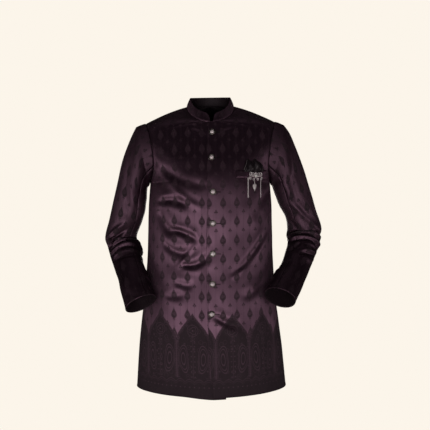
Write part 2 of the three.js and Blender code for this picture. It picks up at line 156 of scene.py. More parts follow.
SLEEVE_BACK_SEAM = 250

# Creases of the body. Start x, z, end x, z, bow sideways, half width, depth (out is plus).
CREASES_FRONT = [
    (-181, -187, -113, -262, -6, 12, 2.3),
    (-113, -262, -38, -322, 4, 10, 2.1),
    (-150, -205, -8, -256, 10, 18, -2.5),
    (-160, -300, -78, -312, -8, 13, -4.5),
    (-160, -325, -112, -402, 10, 15, -5.3),
    (-118, -385, -50, -417, -4, 11, -4.9),
    (-57, -436, -98, -497, 0, 6, 3.0),
    (-88, -492, -12, -462, 12, 13, -4.9),
    (-146, -424, -72, -456, 12, 14, -3.7),
    (-60, -385, -38, -418, 0, 6, 1.8),
    (158, -402, 78, -508, -8, 11, -4.1),
    (176, -396, 104, -494, -6, 9, 2.1),
    (98, -500, 60, -532, 0, 7, 2.1),
    (186, -262, 132, -352, 8, 18, -3.4),
    (184, -330, 150, -430, 6, 15, 2.1),
    (158, -540, 96, -590, -6, 14, -3.0),
    (-112, -542, -60, -552, 5, 12, -2.6),
    (-140, -585, -86, -578, 4, 13, -2.3),
    (6, -642, 70, -672, 6, 13, -4.1),
    (10, -655, 80, -700, 4, 10, 1.6),
    (-158, -610, -140, -850, 8, 24, 3.7),
    (-96, -640, -112, -870, -8, 28, -2.9),
    (168, -640, 186, -862, -6, 26, -3.7),
    (92, -690, 104, -872, 6, 28, 2.5),
    (-70, -84, -14, -108, -5, 6, 2.0),
    (64, -80, 20, -106, 5, 6, 2.0),
    (-60, -70, -20, -92, -3, 6, -1.6),
    (-176, -150, -150, -196, 0, 10, 1.6),
    (-150, -120, -60, -150, 8, 22, -1.6),
    (150, -110, 66, -140, -6, 22, -1.6),
    (176, -200, 168, -262, 5, 9, -2.0),
]
CREASES_BACK = [
    (-176, -190, -92, -300, -8, 16, -4.2),
    (-178, -235, -110, -340, -6, 13, 3.1),
    (174, -198, 84, -286, 8, 17, -3.9),
    (178, -250, 120, -330, 6, 13, 2.7),
    (-150, -372, -34, -414, 12, 14, -4.2),
    (-158, -430, -20, -452, 8, 12, -4.8),
    (-140, -470, -44, -500, 6, 12, 2.5),
    (150, -388, 30, -430, -9, 14, -4.2),
    (162, -452, 52, -470, -6, 12, -3.9),
    (120, -500, 40, -478, 4, 11, 2.5),
    (-40, -140, -120, -178, 10, 26, -2.5),
    (52, -150, 136, -196, -8, 24, -2.2),
    (-118, -560, -150, -868, 8, 28, 4.7),
    (-52, -600, -64, -872, -8, 30, -3.8),
    (92, -570, 120, -866, 8, 28, -4.2),
    (160, -600, 182, -860, -5, 26, 3.4),
    (34, -640, 40, -872, 6, 26, 2.5),
    (-60, 0, -120, -52, 4, 10, -1.4),
]
# Creases of a sleeve. Start and end as length from the shoulder and degrees round
# the arm from its outer side over the front; then bow, half width and depth.
CREASES_RIGHT_SLEEVE = [
    (352, 12, 250, 88, -6, 7, 3.4),
    (354, 16, 272, 100, 4, 8, -4.4),
    (356, 18, 306, 94, 3, 5.5, 3.8),
    (358, 22, 318, 112, 2, 6.5, -5.2),
    (360, 24, 334, 122, -2, 5, 3.6),
    (364, 28, 346, 132, 3, 6.5, -5.4),
    (370, 20, 362, 128, -3, 5, 3.8),
    (378, 6, 376, 150, 4, 7, -6.5),
    (392, 30, 392, 140, -4, 7, 4.4),
    (408, 26, 410, 126, 3, 8, -3.8),
    (330, 150, 352, 214, 5, 8, -5.0),
    (352, 150, 370, 212, 4, 8, 4.6),
    (384, 152, 388, 222, 3, 8, -5.0),
    (346, 348, 300, 268, 5, 10, -4.2),
    (362, 350, 352, 262, -3, 9, -4.8),
    (374, 348, 386, 256, 3, 10, 3.2),
    (96, 64, 214, 104, 10, 13, -3.0),
    (60, 30, 180, 62, -8, 15, 2.4),
    (130, 140, 232, 124, 8, 12, -3.0),
    (70, 300, 190, 262, -8, 14, -3.2),
    (486, 150, 498, 218, 4, 9, 4.0),
    (470, 148, 476, 214, 4, 9, -4.0),
    (520, 60, 566, 92, 6, 15, -1.8),
    (440, 300, 520, 276, 6, 13, -2.4),
]
CREASES_LEFT_SLEEVE = [
    (326, 6, 318, 100, 6, 8, 4.4),
    (340, 0, 334, 168, 8, 7, -6.8),
    (318, 100, 330, 176, 4, 8, 4.8),
    (354, 4, 352, 172, -6, 7, 5.2),
    (368, 10, 366, 150, -8, 7, -6.4),
    (382, 12, 396, 90, 4, 7, 3.8),
    (392, 20, 416, 104, 4, 8, -4.0),
    (366, 96, 408, 150, 4, 8, -4.4),
    (404, 8, 430, 60, 4, 10, 2.4),
    (88, 128, 196, 116, 6, 9, 3.4),
    (192, 116, 300, 40, -8, 10, 3.6),
    (120, 100, 296, 66, -10, 15, -4.0),
    (230, 40, 306, 16, 0, 8, -3.0),
    (70, 60, 120, 78, 4, 9, 2.0),
    (250, 150, 300, 128, 4, 11, -3.4),
    (330, 352, 312, 264, 5, 10, -5.0),
    (350, 350, 352, 256, -4, 9, 4.6),
    (366, 348, 392, 262, 4, 10, -4.6),
    (80, 300, 196, 258, -8, 15, -3.0),
    (300, 214, 330, 190, 3, 9, -4.0),
    (462, 148, 470, 216, 4, 9, -4.6),
    (478, 150, 488, 218, 4, 9, 4.4),
    (520, 70, 560, 96, 6, 15, -1.8),
    (430, 300, 512, 272, 6, 13, -2.4),
]

# buttons down the front edge: x, z, turn about the upright, tip, both in degrees
BUTTONS = [
    (1, -90, 0, 0),
    (-2, -169, 0, 0),
    (1, -273, 0, 0),
    (1, -367, 0, 0),
    (1, -458, 0, 0),
    (0, -548, 0, 0),
    (-3, -637, 12, -8),
]
# pocket welt on the over front: left x, right x, top z at each end, bottom z
WELT = (72, 173, -208, -203.5, -231)
WELT_WALL = 1.3
# pocket square: left x, right x, heights of its top edge, and the size cut that shows
SQUARE = (95, 160)
SQUARE_TOP = (-197, -179, -174, -181, -177, -172, -178, -180, -186, -198)
SQUARE_WALL = 0.8
# a button in profile, each row a radius and a height
BUTTON_RIM = [
    (0, 0.1), (8.6, 0.1), (9.6, 0.6), (9.95, 1.4), (9.7, 2.3), (9.0, 2.8),
    (8.2, 2.7), (7.7, 2.2), (7.5, 1.9), (7.2, 2.4), (6.7, 2.6), (6.4, 2.0), (0, 1.8),
]
BUTTON_DOME = [
    (0, 1.9), (6.35, 1.9), (6.3, 2.6), (5.9, 3.5), (5.1, 4.4),
    (4.0, 5.2), (2.6, 5.8), (1.2, 6.1), (0, 6.15),
]
BEAD = [(0, -0.55), (0.4, -0.4), (0.6, 0), (0.4, 0.4), (0, 0.55)]
BEADS = 26
BEAD_RING = (8.75, 2.8)  # radius, height
PETAL = [(0.6, 0, 6.0), (2.0, 0, 5.95), (3.4, 0, 5.45), (4.6, 0, 4.7)]
PETAL_THICK = [0.3, 0.5, 0.55, 0.35]
# the brooch: place on the front, then its scrolls as centre x, centre z, the angle where
# the right one starts, how far it turns, outer radius, inner radius
BROOCH = (133, -223)
SCROLLS = [
    (9.5, 1.5, 0, 470, 6.2, 1.2),
    (19.0, 2.5, 170, -480, 5.6, 1.0),
    (20.0, -5.2, 60, -400, 4.0, 0.9),
    (8.2, -6.6, 150, 420, 3.8, 0.8),
]
SCROLL_STRETCH = (1.08, 1.4, 1.0)
CROWN = [
    (-5, 4, 0), (-3.6, 8.4, 0), (-1.6, 6.4, 0), (0, 10.2, 0),
    (1.6, 6.4, 0), (3.6, 8.4, 0), (5, 4, 0),
]
GRAIN = [(0, -0.8), (0.6, -0.5), (0.8, 0), (0.6, 0.5), (0, 0.8)]
GRAIN_RING = (6.6, 0.8)
PEARL = 4.1
DROP_STEM = [(0, -2.8, 0), (0, -6, 0), (0, -9, 0), (0, -13.0, 0)]
LEAF_MIDDLE = -21.5
LEAF_SIZE = (8.4, 9.6)
STRANDS = [("left", 60, 1.7), ("right", 56, 1.25)]  # length, half width of a link

# ---------------------------------------------------------------- shapes


def ease(f):
    """A smooth step: 3 f squared less 2 f cubed, held at 0 and 1 outside."""
    f = np.clip(f, 0, 1)
    return f * f * (3 - 2 * f)


def mix(a, b, f):
    """From a to b in even steps of the share f."""
    return a + (b - a) * f


def curve(rows, t, closed=False):
    """A smooth curve through rows of numbers at row number t, by cubic pieces whose
    slope at each row is half the step from the row before to the row after."""
    rows = np.asarray(rows, float)
    n = len(rows)
    t = np.asarray(t, float)
    k = np.floor(t).astype(int)
    if not closed:
        k = np.clip(k, 0, n - 2)
    f = (t - k)[..., None]

    def at(step):  # the row this many after the one below t
        return rows[(k + step) % n] if closed else rows[np.clip(k + step, 0, n - 1)]

    a, b, c, d = at(-1), at(0), at(1), at(2)
    p, q, rise = (c - a) / 2, (d - b) / 2, c - b
    return b + f * (p + f * (3 * rise - 2 * p - q + f * (p + q - 2 * rise)))


def neckline(degrees):
    """Half an oval for the front and a flatter half for the back; the height falls with
    the cosine. 0 degrees is the centre front, 90 the shoulder, 180 the centre back."""
    a = np.radians(degrees)
    c = np.cos(a)
    depth = np.where(c > 0, NECK_SIDE_Y - NECK_FRONT[0], NECK_BACK[0] - NECK_SIDE_Y)
    rise = np.where(c > 0, NECK_FRONT[1], -NECK_BACK[1])
    return np.stack([NECK_HALF * np.sin(a), NECK_SIDE_Y - depth * c, rise * c], -1)


def tilt(points):
    """Lifts the wearer's left shoulder: height grows with x, only near the top."""
    lifted = points.copy()
    x, z = points[..., 0], points[..., 2]
    lifted[..., 2] = z + TILT * x * ease((z + 330) / 260)
    return lifted


def turns(front, t):
    """How far row t turns from the centre line to its side edge, in radians."""
    rows = np.asarray(TURN_FRONT if front else TURN_BACK, float)[:, None]
    return np.radians(curve(rows, t)[..., 0])


def side_edge(front, t):
    """Side seam up to the underarm, then the armhole curve."""
    loop = t - ARMPIT if front else 2 * (TOP - ARMPIT) - (t - ARMPIT)
    high = curve(ARMHOLE, np.where(t > ARMPIT, loop, 0), True)
    return np.where((t > ARMPIT)[..., None], high, curve(SIDE, np.minimum(t, ARMPIT)))


def form(front, side, t, turn):
    """The bare body form. Row t runs from the centre line to its side edge as part of an
    oval: x by the sine of the turned angle, y by one less its cosine."""
    row = curve(CENTRE, np.minimum(t, NECK))
    line = row[..., :2] if front else row[..., 2:4]
    low = np.concatenate([np.zeros(t.shape + (1,)), line], -1)
    swing = 90 * (t - NECK) / (TOP - NECK)
    high = neckline(np.clip(swing if front else 180 - swing, 0, 180))
    c = np.where((t > NECK)[..., None], high, low)
    r = side_edge(front, t)
    m = turns(front, t)
    f = np.sin(turn * m) / np.sin(m)
    g = (1 - np.cos(turn * m)) / (1 - np.cos(m))
    x = side * mix(c[..., 0], r[..., 0], f) + row[..., 4]
    y = mix(c[..., 1], r[..., 1], g)
    full = SHOULDER_RISE * 4 * np.abs(f) * (1 - np.abs(f)) * ease((t - 8) / 2)
    z = mix(c[..., 2], r[..., 2], np.abs(f)) + full
    return tilt(np.stack([x, y, z], -1))


def bell(x, width):
    """A bump of height one: e to the minus of x over the width, squared."""
    return np.exp(-((x / width) ** 2))


def unit(v):
    """Vectors divided by their own length."""
    return v / np.maximum(np.linalg.norm(v, axis=-1, keepdims=True), 1e-9)


def form_normal(front, side, t, turn):
    """The way out of the body form: across its upward and its sideways steps."""
    up = form(front, side, np.minimum(t + 0.02, TOP), turn)
    down = form(front, side, np.maximum(t - 0.02, 0), turn)
    out = form(front, side, t, turn + 0.01)
    back = form(front, side, t, turn - 0.01)
    n = unit(np.cross(up - down, out - back))
    return -n if front == (side > 0) else n


def creases(rows, p, q, strength=1.0, returns=0.3):
    """Adds troughs and ridges. Each is a bell across its line with a low return bell on
    both sides, bowed by its middle, and fades in and out at its two ends."""
    total = np.zeros(np.shape(p))
    for p0, q0, p1, q1, bow, half, depth in rows:
        length = math.hypot(p1 - p0, q1 - q0)
        along = ((p - p0) * (p1 - p0) + (q - q0) * (q1 - q0)) / length**2
        across = ((p - p0) * (q1 - q0) - (q - q0) * (p1 - p0)) / length
        inside = np.clip(along, 0, 1)
        width = half * (0.8 + 0.45 * inside)
        g = (across - bow * 4 * inside * (1 - inside)) / width
        fade = ease((along + 0.15) / 0.38) * ease((1.15 - along) / 0.38)
        middle = np.exp(-2 * g * g)
        sides = np.exp(-2 * (g - 1.6) ** 2) + np.exp(-2 * (g + 1.6) ** 2)
        total += depth * fade * (middle - returns * sides)
    return strength * total


def ripple(p, q):
    """Slight unevenness of hanging cloth: a few long waves that don't repeat together."""
    waves = (
        (0.045, 0.013, 0.4, 0.34),
        (-0.021, 0.052, 1.9, 0.3),
        (0.083, 0.031, 3.1, 0.2),
        (0.029, -0.071, 5.2, 0.22),
        (0.12, 0.09, 0.7, 0.09),
    )
    return sum(h * np.sin(a * p + b * q + c) for a, b, c, h in waves)


def steps(spans, size):
    """Row numbers whose spacing on the cloth is about one size, for rows this long."""
    parts = []
    for i, span in enumerate(spans):
        n = max(2, round(span / size))
        parts.append(i + np.arange(n) / n)
    return np.append(np.concatenate(parts), len(spans))


def run(points, axis):
    """Length along a grid's rows or columns, from their start."""
    gap = np.linalg.norm(np.diff(points, axis=axis), axis=-1)
    pad = [(0, 0), (0, 0)]
    pad[axis] = (1, 0)
    return np.pad(np.cumsum(gap, axis=axis), pad)


ROW_SPANS = (140, 140, 120, 85, 85, 80, 62, 60, 60, 46, 46)  # between rows, hem to shoulder
PANEL_WIDTH = 300  # about the width of a panel, for the number of its columns


def body_grid(front, side, over, strength, size=5.0):
    """One front or back panel as rows by columns, with its cloth coordinates."""
    t1 = steps(ROW_SPANS, size)
    n = int(PANEL_WIDTH / size)
    row = curve(CENTRE, np.minimum(t1, NECK))
    m = turns(front, t1)
    half = side_edge(front, t1)[:, 0]
    lap = np.zeros(len(t1))
    if front:
        lap = row[:, 5] if over else row[:, 6]
    first = -np.arcsin(lap / half * np.sin(m)) / m
    j = np.linspace(0, 1, n)
    turn = mix(first[:, None], 1.0, j[None, :])
    above = (t1 > NECK)[:, None]
    blend = np.clip((t1 - NECK) / 0.8, 0, 1)[:, None]
    turn = np.where(above, mix(np.maximum(turn, 0), j[None, :], blend), turn)
    t = np.repeat(t1[:, None], n, 1)
    p = form(front, side, t, turn)
    normal = form_normal(front, side, t, turn)
    across, up = run(p, 1), run(p, 0)
    neck_x = neckline(np.clip(90 * (t1 - NECK) / (TOP - NECK), 0, 90))[:, 0]
    start = np.where(t1 > NECK, neck_x, -lap)
    u, v = start[:, None] + across, up

    x, z = p[..., 0], p[..., 2]
    edge = np.maximum(0, (1 - turn) * half[:, None])
    calm = ease(edge / 26) * ease((TOP - t) / 1.2)
    if front:
        calm = calm * mix(1, ease((side * x + lap[:, None]) / 10 + 0.35), 0.8)
    table = CREASES_FRONT if front else CREASES_BACK
    out = calm * (creases(table, x, z, strength, BODY_RETURN) + ripple(x, z))
    out -= EDGE_SINK * bell(edge, EDGE_WIDTH)
    top = run(p[::-1], 0)[::-1]
    out -= 0.8 * bell(top, EDGE_WIDTH) * (t > NECK)
    out += 0.7 * bell(up - HEM_FULL, EDGE_WIDTH) - 0.35 * bell(up - HEM_STITCH, STITCH_WIDTH)
    if front:
        own = side * x
        if not over:
            out = np.minimum(out, mix(-0.6, out, ease((own - 14) / 40)))
            out -= LAP_DEPTH * ease((LAP_EASE - own) / (LAP_EASE - 18))
        else:
            out += 0.5 * ease((30 - own) / 24) * (t < NECK)
    p = p + normal * out[..., None]
    if front and not over:
        p[..., 2] -= 5 * ease((90 - side * x) / 90) * ease((30 - up) / 30)
    if not front:
        p[..., 0] -= side * 0.5 * ease((3 - across) / 3) * (t <= NECK)  # the two meet
        sink = 0.8 * bell(across, EDGE_WIDTH) * (t <= NECK)
        p = p - normal * sink[..., None]
    flip = front != (side > 0)
    return p, np.stack([u, v], -1), flip


def armhole_loop(side, share):
    """Armhole points at equal shares of its length: over the top, down the front."""
    w = np.linspace(0, 10, 801)
    points = curve(ARMHOLE, (5 - w) % 10, True) * np.array([side, 1, 1])
    points = tilt(points)
    length = np.append(0, np.cumsum(np.linalg.norm(np.diff(points, axis=0), axis=1)))
    where = np.interp(share % 1.0, length / length[-1], w)
    fresh = curve(ARMHOLE, (5 - where) % 10, True) * np.array([side, 1, 1])
    return tilt(fresh)


def sleeve_grid(side, table, start, stop, under, rows, strength, size=4.0):
    """A strip of the sleeve between two angles. Rings are ovals across the bent arm,
    blended over the first one from the armhole's own curve. The strip's first rows are
    tucked inside the body, and its edges inside the next strip by the angle 'under'."""
    s1 = np.concatenate([[-0.08, -0.05, -0.02], steps([46] * 14, size)])
    tuck = np.clip(-s1 / 0.08, 0, 1)[:, None, None]
    n = int((stop - start) / size)
    a = np.radians(np.linspace(start - under, stop + under, n))

    def ring(k):  # middle, reach to the outer side and half depth of ring k
        ox, oz, ix, iz, y, depth = np.moveaxis(curve(table, np.clip(k, 0, 13)), -1, 0)
        middle = np.stack([side * (ox + ix) / 2, y, (oz + iz) / 2], -1)
        reach = np.stack([side * (ox - ix) / 2, 0 * y, (oz - iz) / 2], -1)
        return middle, reach, depth

    k = np.maximum(0, s1 - 1)
    middle, reach, depth = ring(k)
    axis = unit(ring(k + 0.6)[0] - ring(k - 0.6)[0])
    across = unit(np.cross(axis, reach)) * depth[:, None]
    across *= -np.sign(across[:, 1:2])
    p = middle[:, None] + reach[:, None] * np.cos(a)[:, None]
    p = p + across[:, None] * np.sin(a)[:, None]
    loop = armhole_loop(side, a / (2 * np.pi))
    loop[:, 0] += side * SEAM
    f = ease(s1)[:, None, None]
    p = mix(loop[None], p, np.where((s1 < 1)[:, None, None], f, 1.0))
    inward = unit(loop.mean(0) - loop) * 1.8 - np.array([4.0 * side, 0, 0])
    p = p + tuck * inward[None]

    along = run(middle[:, None] + 0 * p[:, :1], 0)
    along += 40 * np.minimum(s1, 1)[:, None]
    degrees = np.degrees(a)[None, :] + 0 * along
    grow = unit(np.cross(np.gradient(p, axis=1), np.gradient(p, axis=0))) * side
    turned = np.where(degrees < 0, degrees + 360, degrees)
    v = along + 0 * turned
    both = creases(rows, v, degrees, strength) * (degrees >= 0)
    wrap = creases(rows, v, turned, strength) * (degrees < 0)
    calm = ease((v - 4) / 40) * ease((v[-1:] - v) / 26)
    out = calm * (both + wrap + ripple(v + 60 * side, turned))
    out += 1.6 * bell(v - SLEEVE_HEAD, 14.0) * ease((110 - np.abs(degrees)) / 60)
    out -= EDGE_SINK * bell(v, EDGE_WIDTH)
    near = np.minimum(degrees - start, stop - degrees)
    out -= 0.4 * bell(near, 1.8) + 1.2 * ease(-near)
    end = v[-1:] - v
    out += 0.6 * bell(end - HEM_FULL, EDGE_WIDTH) - 0.4 * bell(end - CUFF_STITCH, STITCH_WIDTH)
    p = p + grow * out[..., None]
    around = run(p, 1)
    middle_of_arm = 70 if start < 0 else 190
    column = int(np.argmin(np.abs(degrees[0] - middle_of_arm)))
    u = around - around[:, column : column + 1] + 32
    return p, np.stack([u, -40 - v], -1), side < 0


def collar_grid():
    """The stand collar: straight lines from the neckline to a smaller oval above it,
    slightly full in the middle, with rounded front corners."""
    a = np.linspace(4.4, 356.2, 300)
    v = np.linspace(-0.09, 1, 18)[:, None]  # it starts tucked inside the body's neck edge
    side = np.where(a > 180, -1, 1)
    base = neckline(np.where(a > 180, 360 - a, a))
    end = np.minimum(a - a[0], a[-1] - a)
    top = a + side * 5.5 * np.maximum(v, 0) * ease(1 - end / 24)
    c = np.cos(np.radians(top))
    top_y = mix(NECK_SIDE_Y - 2, np.where(c > 0, COLLAR_TOP[1], COLLAR_TOP[2]), np.abs(c))
    rise = COLLAR_HEIGHT - 3.4 * (1 - ease(end / 7)) - 1.2 * ease(1 - end / 90)
    x = mix(side * base[:, 0], COLLAR_TOP[0] * np.sin(np.radians(top)), v)
    y = mix(base[:, 1], top_y, v)
    z = base[:, 2] + SEAM + rise * v
    p = tilt(np.stack([x, y, z], -1))
    out = unit(np.stack([np.sin(np.radians(top)) * 86, -c * 75, 0 * top], -1))
    bulge = 0.9 * np.sin(np.pi * v) + 0.25 * np.sin(a * 0.21) * v
    bulge = bulge - 0.5 * bell(v * COLLAR_HEIGHT, 2) - 1.6 * ease(-v / 0.06)
    p = p + out * bulge[..., None]
    u = run(p[:1], 1)[0]
    # the collar is cut on the straight grain, so its figures run round it
    up = -900 + v * COLLAR_HEIGHT + 0 * u
    return p, np.stack([u + 0 * v, up], -1), False


def front_surface(x, z, out):
    """Points on the over front at given x and z, moved out along its normal: the turn
    comes from x and the row from z, found together in a few rounds of halving."""
    x, z, out = np.broadcast_arrays(*(np.asarray(w, float) for w in (x, z, out)))
    low, high = np.zeros(x.shape), np.full(x.shape, float(NECK))
    turn = np.zeros(x.shape)
    for _ in range(26):
        t = (low + high) / 2
        row = curve(CENTRE, t)
        m = turns(True, t)
        half = side_edge(True, t)[..., 0]
        turn = np.arcsin(np.clip((x - row[..., 4]) / half, -1, 1) * np.sin(m)) / m
        below = form(True, 1, t, turn)[..., 2] < z
        low, high = np.where(below, t, low), np.where(below, high, t)
    p, n = form(True, 1, low, turn), form_normal(True, 1, low, turn)
    calm = ease((1 - np.abs(turn)) * 190 / 26)
    lift = calm * (creases(CREASES_FRONT, x, z, 1.0, BODY_RETURN) + ripple(x, z))
    lift = lift + 0.5 * ease((30 - x) / 24)
    return p + n * (out + lift)[..., None], n


# ---------------------------------------------------------------- mesh making


def link(obj):
    """Puts an object in the scene."""
    bpy.context.scene.collection.objects.link(obj)
    return obj


def mesh_piece(name, points, faces, uv=None):
    """A mesh object from points in millimetres, quads and, if given, cloth coordinates
    in millimetres for every point."""
    mesh = bpy.data.meshes.new(name)
    points = np.asarray(points, float).reshape(-1, 3)
    faces = np.asarray(faces, np.int32)
    mesh.from_pydata((points * MM).tolist(), [], faces.tolist())
    mesh.polygons.foreach_set("use_smooth", np.ones(len(mesh.polygons), bool))
    if uv is not None:
        layer = mesh.uv_layers.new(name="Cloth")
        index = np.empty(len(mesh.loops), np.int32)
        mesh.loops.foreach_get("vertex_index", index)
        flat = np.asarray(uv, float).reshape(-1, 2)[index] * MM
        layer.data.foreach_set("uv", flat.ravel())
    mesh.update()
    return link(bpy.data.objects.new(name, mesh))


def grid_faces(rows, cols, flip=False, wrap=False, start=0):
    """Quads of a grid; a wrapped one closes its columns on themselves."""
    i = np.arange(rows - 1)[:, None]
    j = np.arange(cols if wrap else cols - 1)[None, :]
    k = (j + 1) % cols
    a, b = i * cols + j, i * cols + k
    c, d = (i + 1) * cols + k, (i + 1) * cols + j
    quads = np.stack([a, b, c, d], -1).reshape(-1, 4)
    return start + (quads[:, ::-1] if flip else quads)


def cloth_piece(name, grid, wall, looks, nodes):
    """A thin shell on its grid, with the width, length and area of the flat sheet it was cut from
    worked out.
    """
    points, uv, flip = grid
    obj = mesh_piece(name, points, grid_faces(*points.shape[:2], flip), uv)
    for look in looks:
        obj.data.materials.append(look)
    solid = obj.modifiers.new("wall", "SOLIDIFY")
    solid.thickness = wall * MM
    solid.offset = -1
    solid.material_offset = 1 if len(looks) > 1 else 0
    solid.material_offset_rim = 0
    width = run(points, 1)[:, -1].max() * MM
    length = run(points, 0)[-1].max() * MM
    sides = np.diff(points, axis=0)[:, :-1], np.diff(points, axis=1)[:-1]
    area = np.linalg.norm(np.cross(*sides), axis=-1).sum() * MM * MM
    area = min(area, 0.999 * width * length)
    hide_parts(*nodes)
    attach(obj, "coat")
    return obj


def lathe(profile, around):
    """A profile of radius and height carried round an axis. It starts and ends at a
    radius of nought, so each end closes in a pole."""
    profile = np.asarray(profile, float)
    a = np.arange(around) * 2 * np.pi / around
    r, h = profile[:, :1], profile[:, 1:]
    points = np.stack([r * np.cos(a), r * np.sin(a), h + 0 * a], -1)
    return points.reshape(-1, 3), grid_faces(len(profile), around, wrap=True)


def tube(path, radius, around=8, closed=False):
    """A round tube along a path: rings across it, turned with its direction. The radius
    may change along it. An open one has a flat cap at each end, closed in a pole."""
    path = np.asarray(path, float)
    n = len(path)
    ahead = np.roll(path, -1, 0) - np.roll(path, 1, 0) if closed else np.gradient(path, axis=0)
    ahead = unit(ahead)
    helper = np.array([0.0, 0.0, 1.0]) if abs(ahead[:, 2]).mean() < 0.7 else np.array([1.0, 0, 0])
    side = unit(np.cross(ahead, helper))
    up = np.cross(side, ahead)
    a = np.arange(around) * 2 * np.pi / around
    radius = np.broadcast_to(np.asarray(radius, float), n)
    ring = side[:, None] * np.cos(a)[:, None] + up[:, None] * np.sin(a)[:, None]
    points = path[:, None] + ring * radius[:, None, None]
    if not closed:
        ends = [np.repeat(path[k, None, None], around, 1) for k in (0, -1)]
        points = np.concatenate([ends[0], points, ends[1]])
    rows = len(points)
    quads = grid_faces(rows + 1 if closed else rows, around, wrap=True)
    if closed:
        quads = quads % (rows * around)
    return points.reshape(-1, 3), quads


def gather(parts):
    """Joins points and quads of many small shapes into one list of each."""
    points, quads, start = [], [], 0
    for p, q in parts:
        points.append(p)
        quads.append(np.asarray(q) + start)
        start += len(p)
    return np.concatenate(points), np.concatenate(quads)


def place(points, origin, outward, tip=0.0):
    """Stands a shape made in x right, y up, z out on a point that faces outward."""
    out = unit(np.asarray(outward, float))
    right = unit(np.cross(np.array([0.0, 0.0, 1.0]), out))
    up = np.cross(out, right)
    c, s = math.cos(tip), math.sin(tip)
    right, up = c * right + s * up, c * up - s * right
    return origin + points @ np.stack([right, up, out])


def hard_piece(name, parts, look, nodes=(), body="coat"):
    """One object of many closed shapes: their poles are merged, then faces turned out."""
    obj = mesh_piece(name, *gather(parts))
    shape = bmesh.new()
    shape.from_mesh(obj.data)
    bmesh.ops.remove_doubles(shape, verts=shape.verts, dist=2e-7)
    bmesh.ops.recalc_face_normals(shape, faces=shape.faces)
    shape.to_mesh(obj.data)
    shape.free()
    obj.data.materials.append(look)
    if nodes:
        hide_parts(*nodes)
    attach(obj, body)
    return obj


def cloth_from_place(obj):
    """Cloth coordinates for a small piece: each corner's own x and z."""
    layer = obj.data.uv_layers.new(name="Cloth")
    corner = np.empty(len(obj.data.loops), np.int32)
    obj.data.loops.foreach_get("vertex_index", corner)
    spots = np.empty(len(obj.data.vertices) * 3)
    obj.data.vertices.foreach_get("co", spots)
    layer.data.foreach_set("uv", spots.reshape(-1, 3)[corner][:, [0, 2]].ravel())


# ---------------------------------------------------------------- materials


class Wire:
    """A value in a node tree that takes part in plain arithmetic."""

    def __init__(self, tree, socket):
        self.tree, self.socket = tree, socket

    def op(self, kind, *others, first=True):
        """A Math node fed with this value and the others."""
        node = self.tree.nodes.new("ShaderNodeMath")
        node.operation = kind
        for i, value in enumerate((self, *others) if first else (*others, self)):
            if isinstance(value, Wire):
                self.tree.links.new(value.socket, node.inputs[i])
            else:
                node.inputs[i].default_value = value
        return Wire(self.tree, node.outputs[0])

    def __add__(self, b):
        return self.op("ADD", b)

    def __sub__(self, b):
        return self.op("SUBTRACT", b)

    def __rsub__(self, b):
        return self.op("SUBTRACT", b, first=False)

    def __mul__(self, b):
        return self.op("MULTIPLY", b)

    def __truediv__(self, b):
        return self.op("DIVIDE", b)

    def __pow__(self, b):
        return self.op("POWER", b)

    __radd__, __rmul__ = __add__, __mul__

    def size(self):
        return self.op("ABSOLUTE")

    def high(self, b):
        return self.op("MAXIMUM", b)

    def low(self, b):
        return self.op("MINIMUM", b)

    def sine(self):
        return self.op("SINE")

    def fold(self, period):
        """Distance to the nearest multiple of the period, with its sign."""
        return (self / period + 0.5).op("FRACT") * period - period / 2

    def below(self, edge, soft):
        """1 under the edge, 0 over it, with a soft step of the given width."""
        node = self.tree.nodes.new("ShaderNodeMapRange")
        node.interpolation_type = "SMOOTHSTEP"
        self.tree.links.new(self.socket, node.inputs["Value"])
        node.inputs["From Min"].default_value = edge - soft / 2
        node.inputs["From Max"].default_value = edge + soft / 2
        node.inputs["To Min"].default_value = 1.0
        node.inputs["To Max"].default_value = 0.0
        return Wire(self.tree, node.outputs["Result"])


def root(a, b):
    """Length of the vector with parts a and b."""
    return (a * a + b * b) ** 0.5


def new_group(name, inputs, outputs):
    """An empty shared group with its named inputs and outputs."""
    tree = bpy.data.node_groups.new(name, "ShaderNodeTree")
    for word, kind in inputs:
        tree.interface.new_socket(word, in_out="INPUT", socket_type=kind)
    for word, kind in outputs:
        tree.interface.new_socket(word, in_out="OUTPUT", socket_type=kind)
    source, sink = tree.nodes.new("NodeGroupInput"), tree.nodes.new("NodeGroupOutput")
    return tree, source, sink


def split(tree, socket, scale=1000.0):
    """The two cloth coordinates of a vector, in millimetres."""
    node = tree.nodes.new("ShaderNodeSeparateXYZ")
    tree.links.new(socket, node.inputs[0])
    return Wire(tree, node.outputs[0]) * scale, Wire(tree, node.outputs[1]) * scale


def noise(tree, vector, scale, detail=2.0):
    """Soft noise at so many waves a metre."""
    node = tree.nodes.new("ShaderNodeTexNoise")
    node.inputs["Scale"].default_value = scale
    node.inputs["Detail"].default_value = detail
    tree.links.new(vector, node.inputs["Vector"])
    return Wire(tree, node.outputs["Fac"])


FIGURE_STEP = (43.0, 56.0)  # width and height of one repeat of the woven figures
FIGURE_START = (32.0, 20.0)
BORDER_TOP = 250.0
BORDER_STEP = 104.0
BORDER_START = 60.0
ARCH_HALF = 54.0
ARCH_FOOT = 158.0  # the arch is full below this height
ARCH_RISE = 90.0
FLOWER_HIGH = 196.0
LEAF_HIGH = 112.0


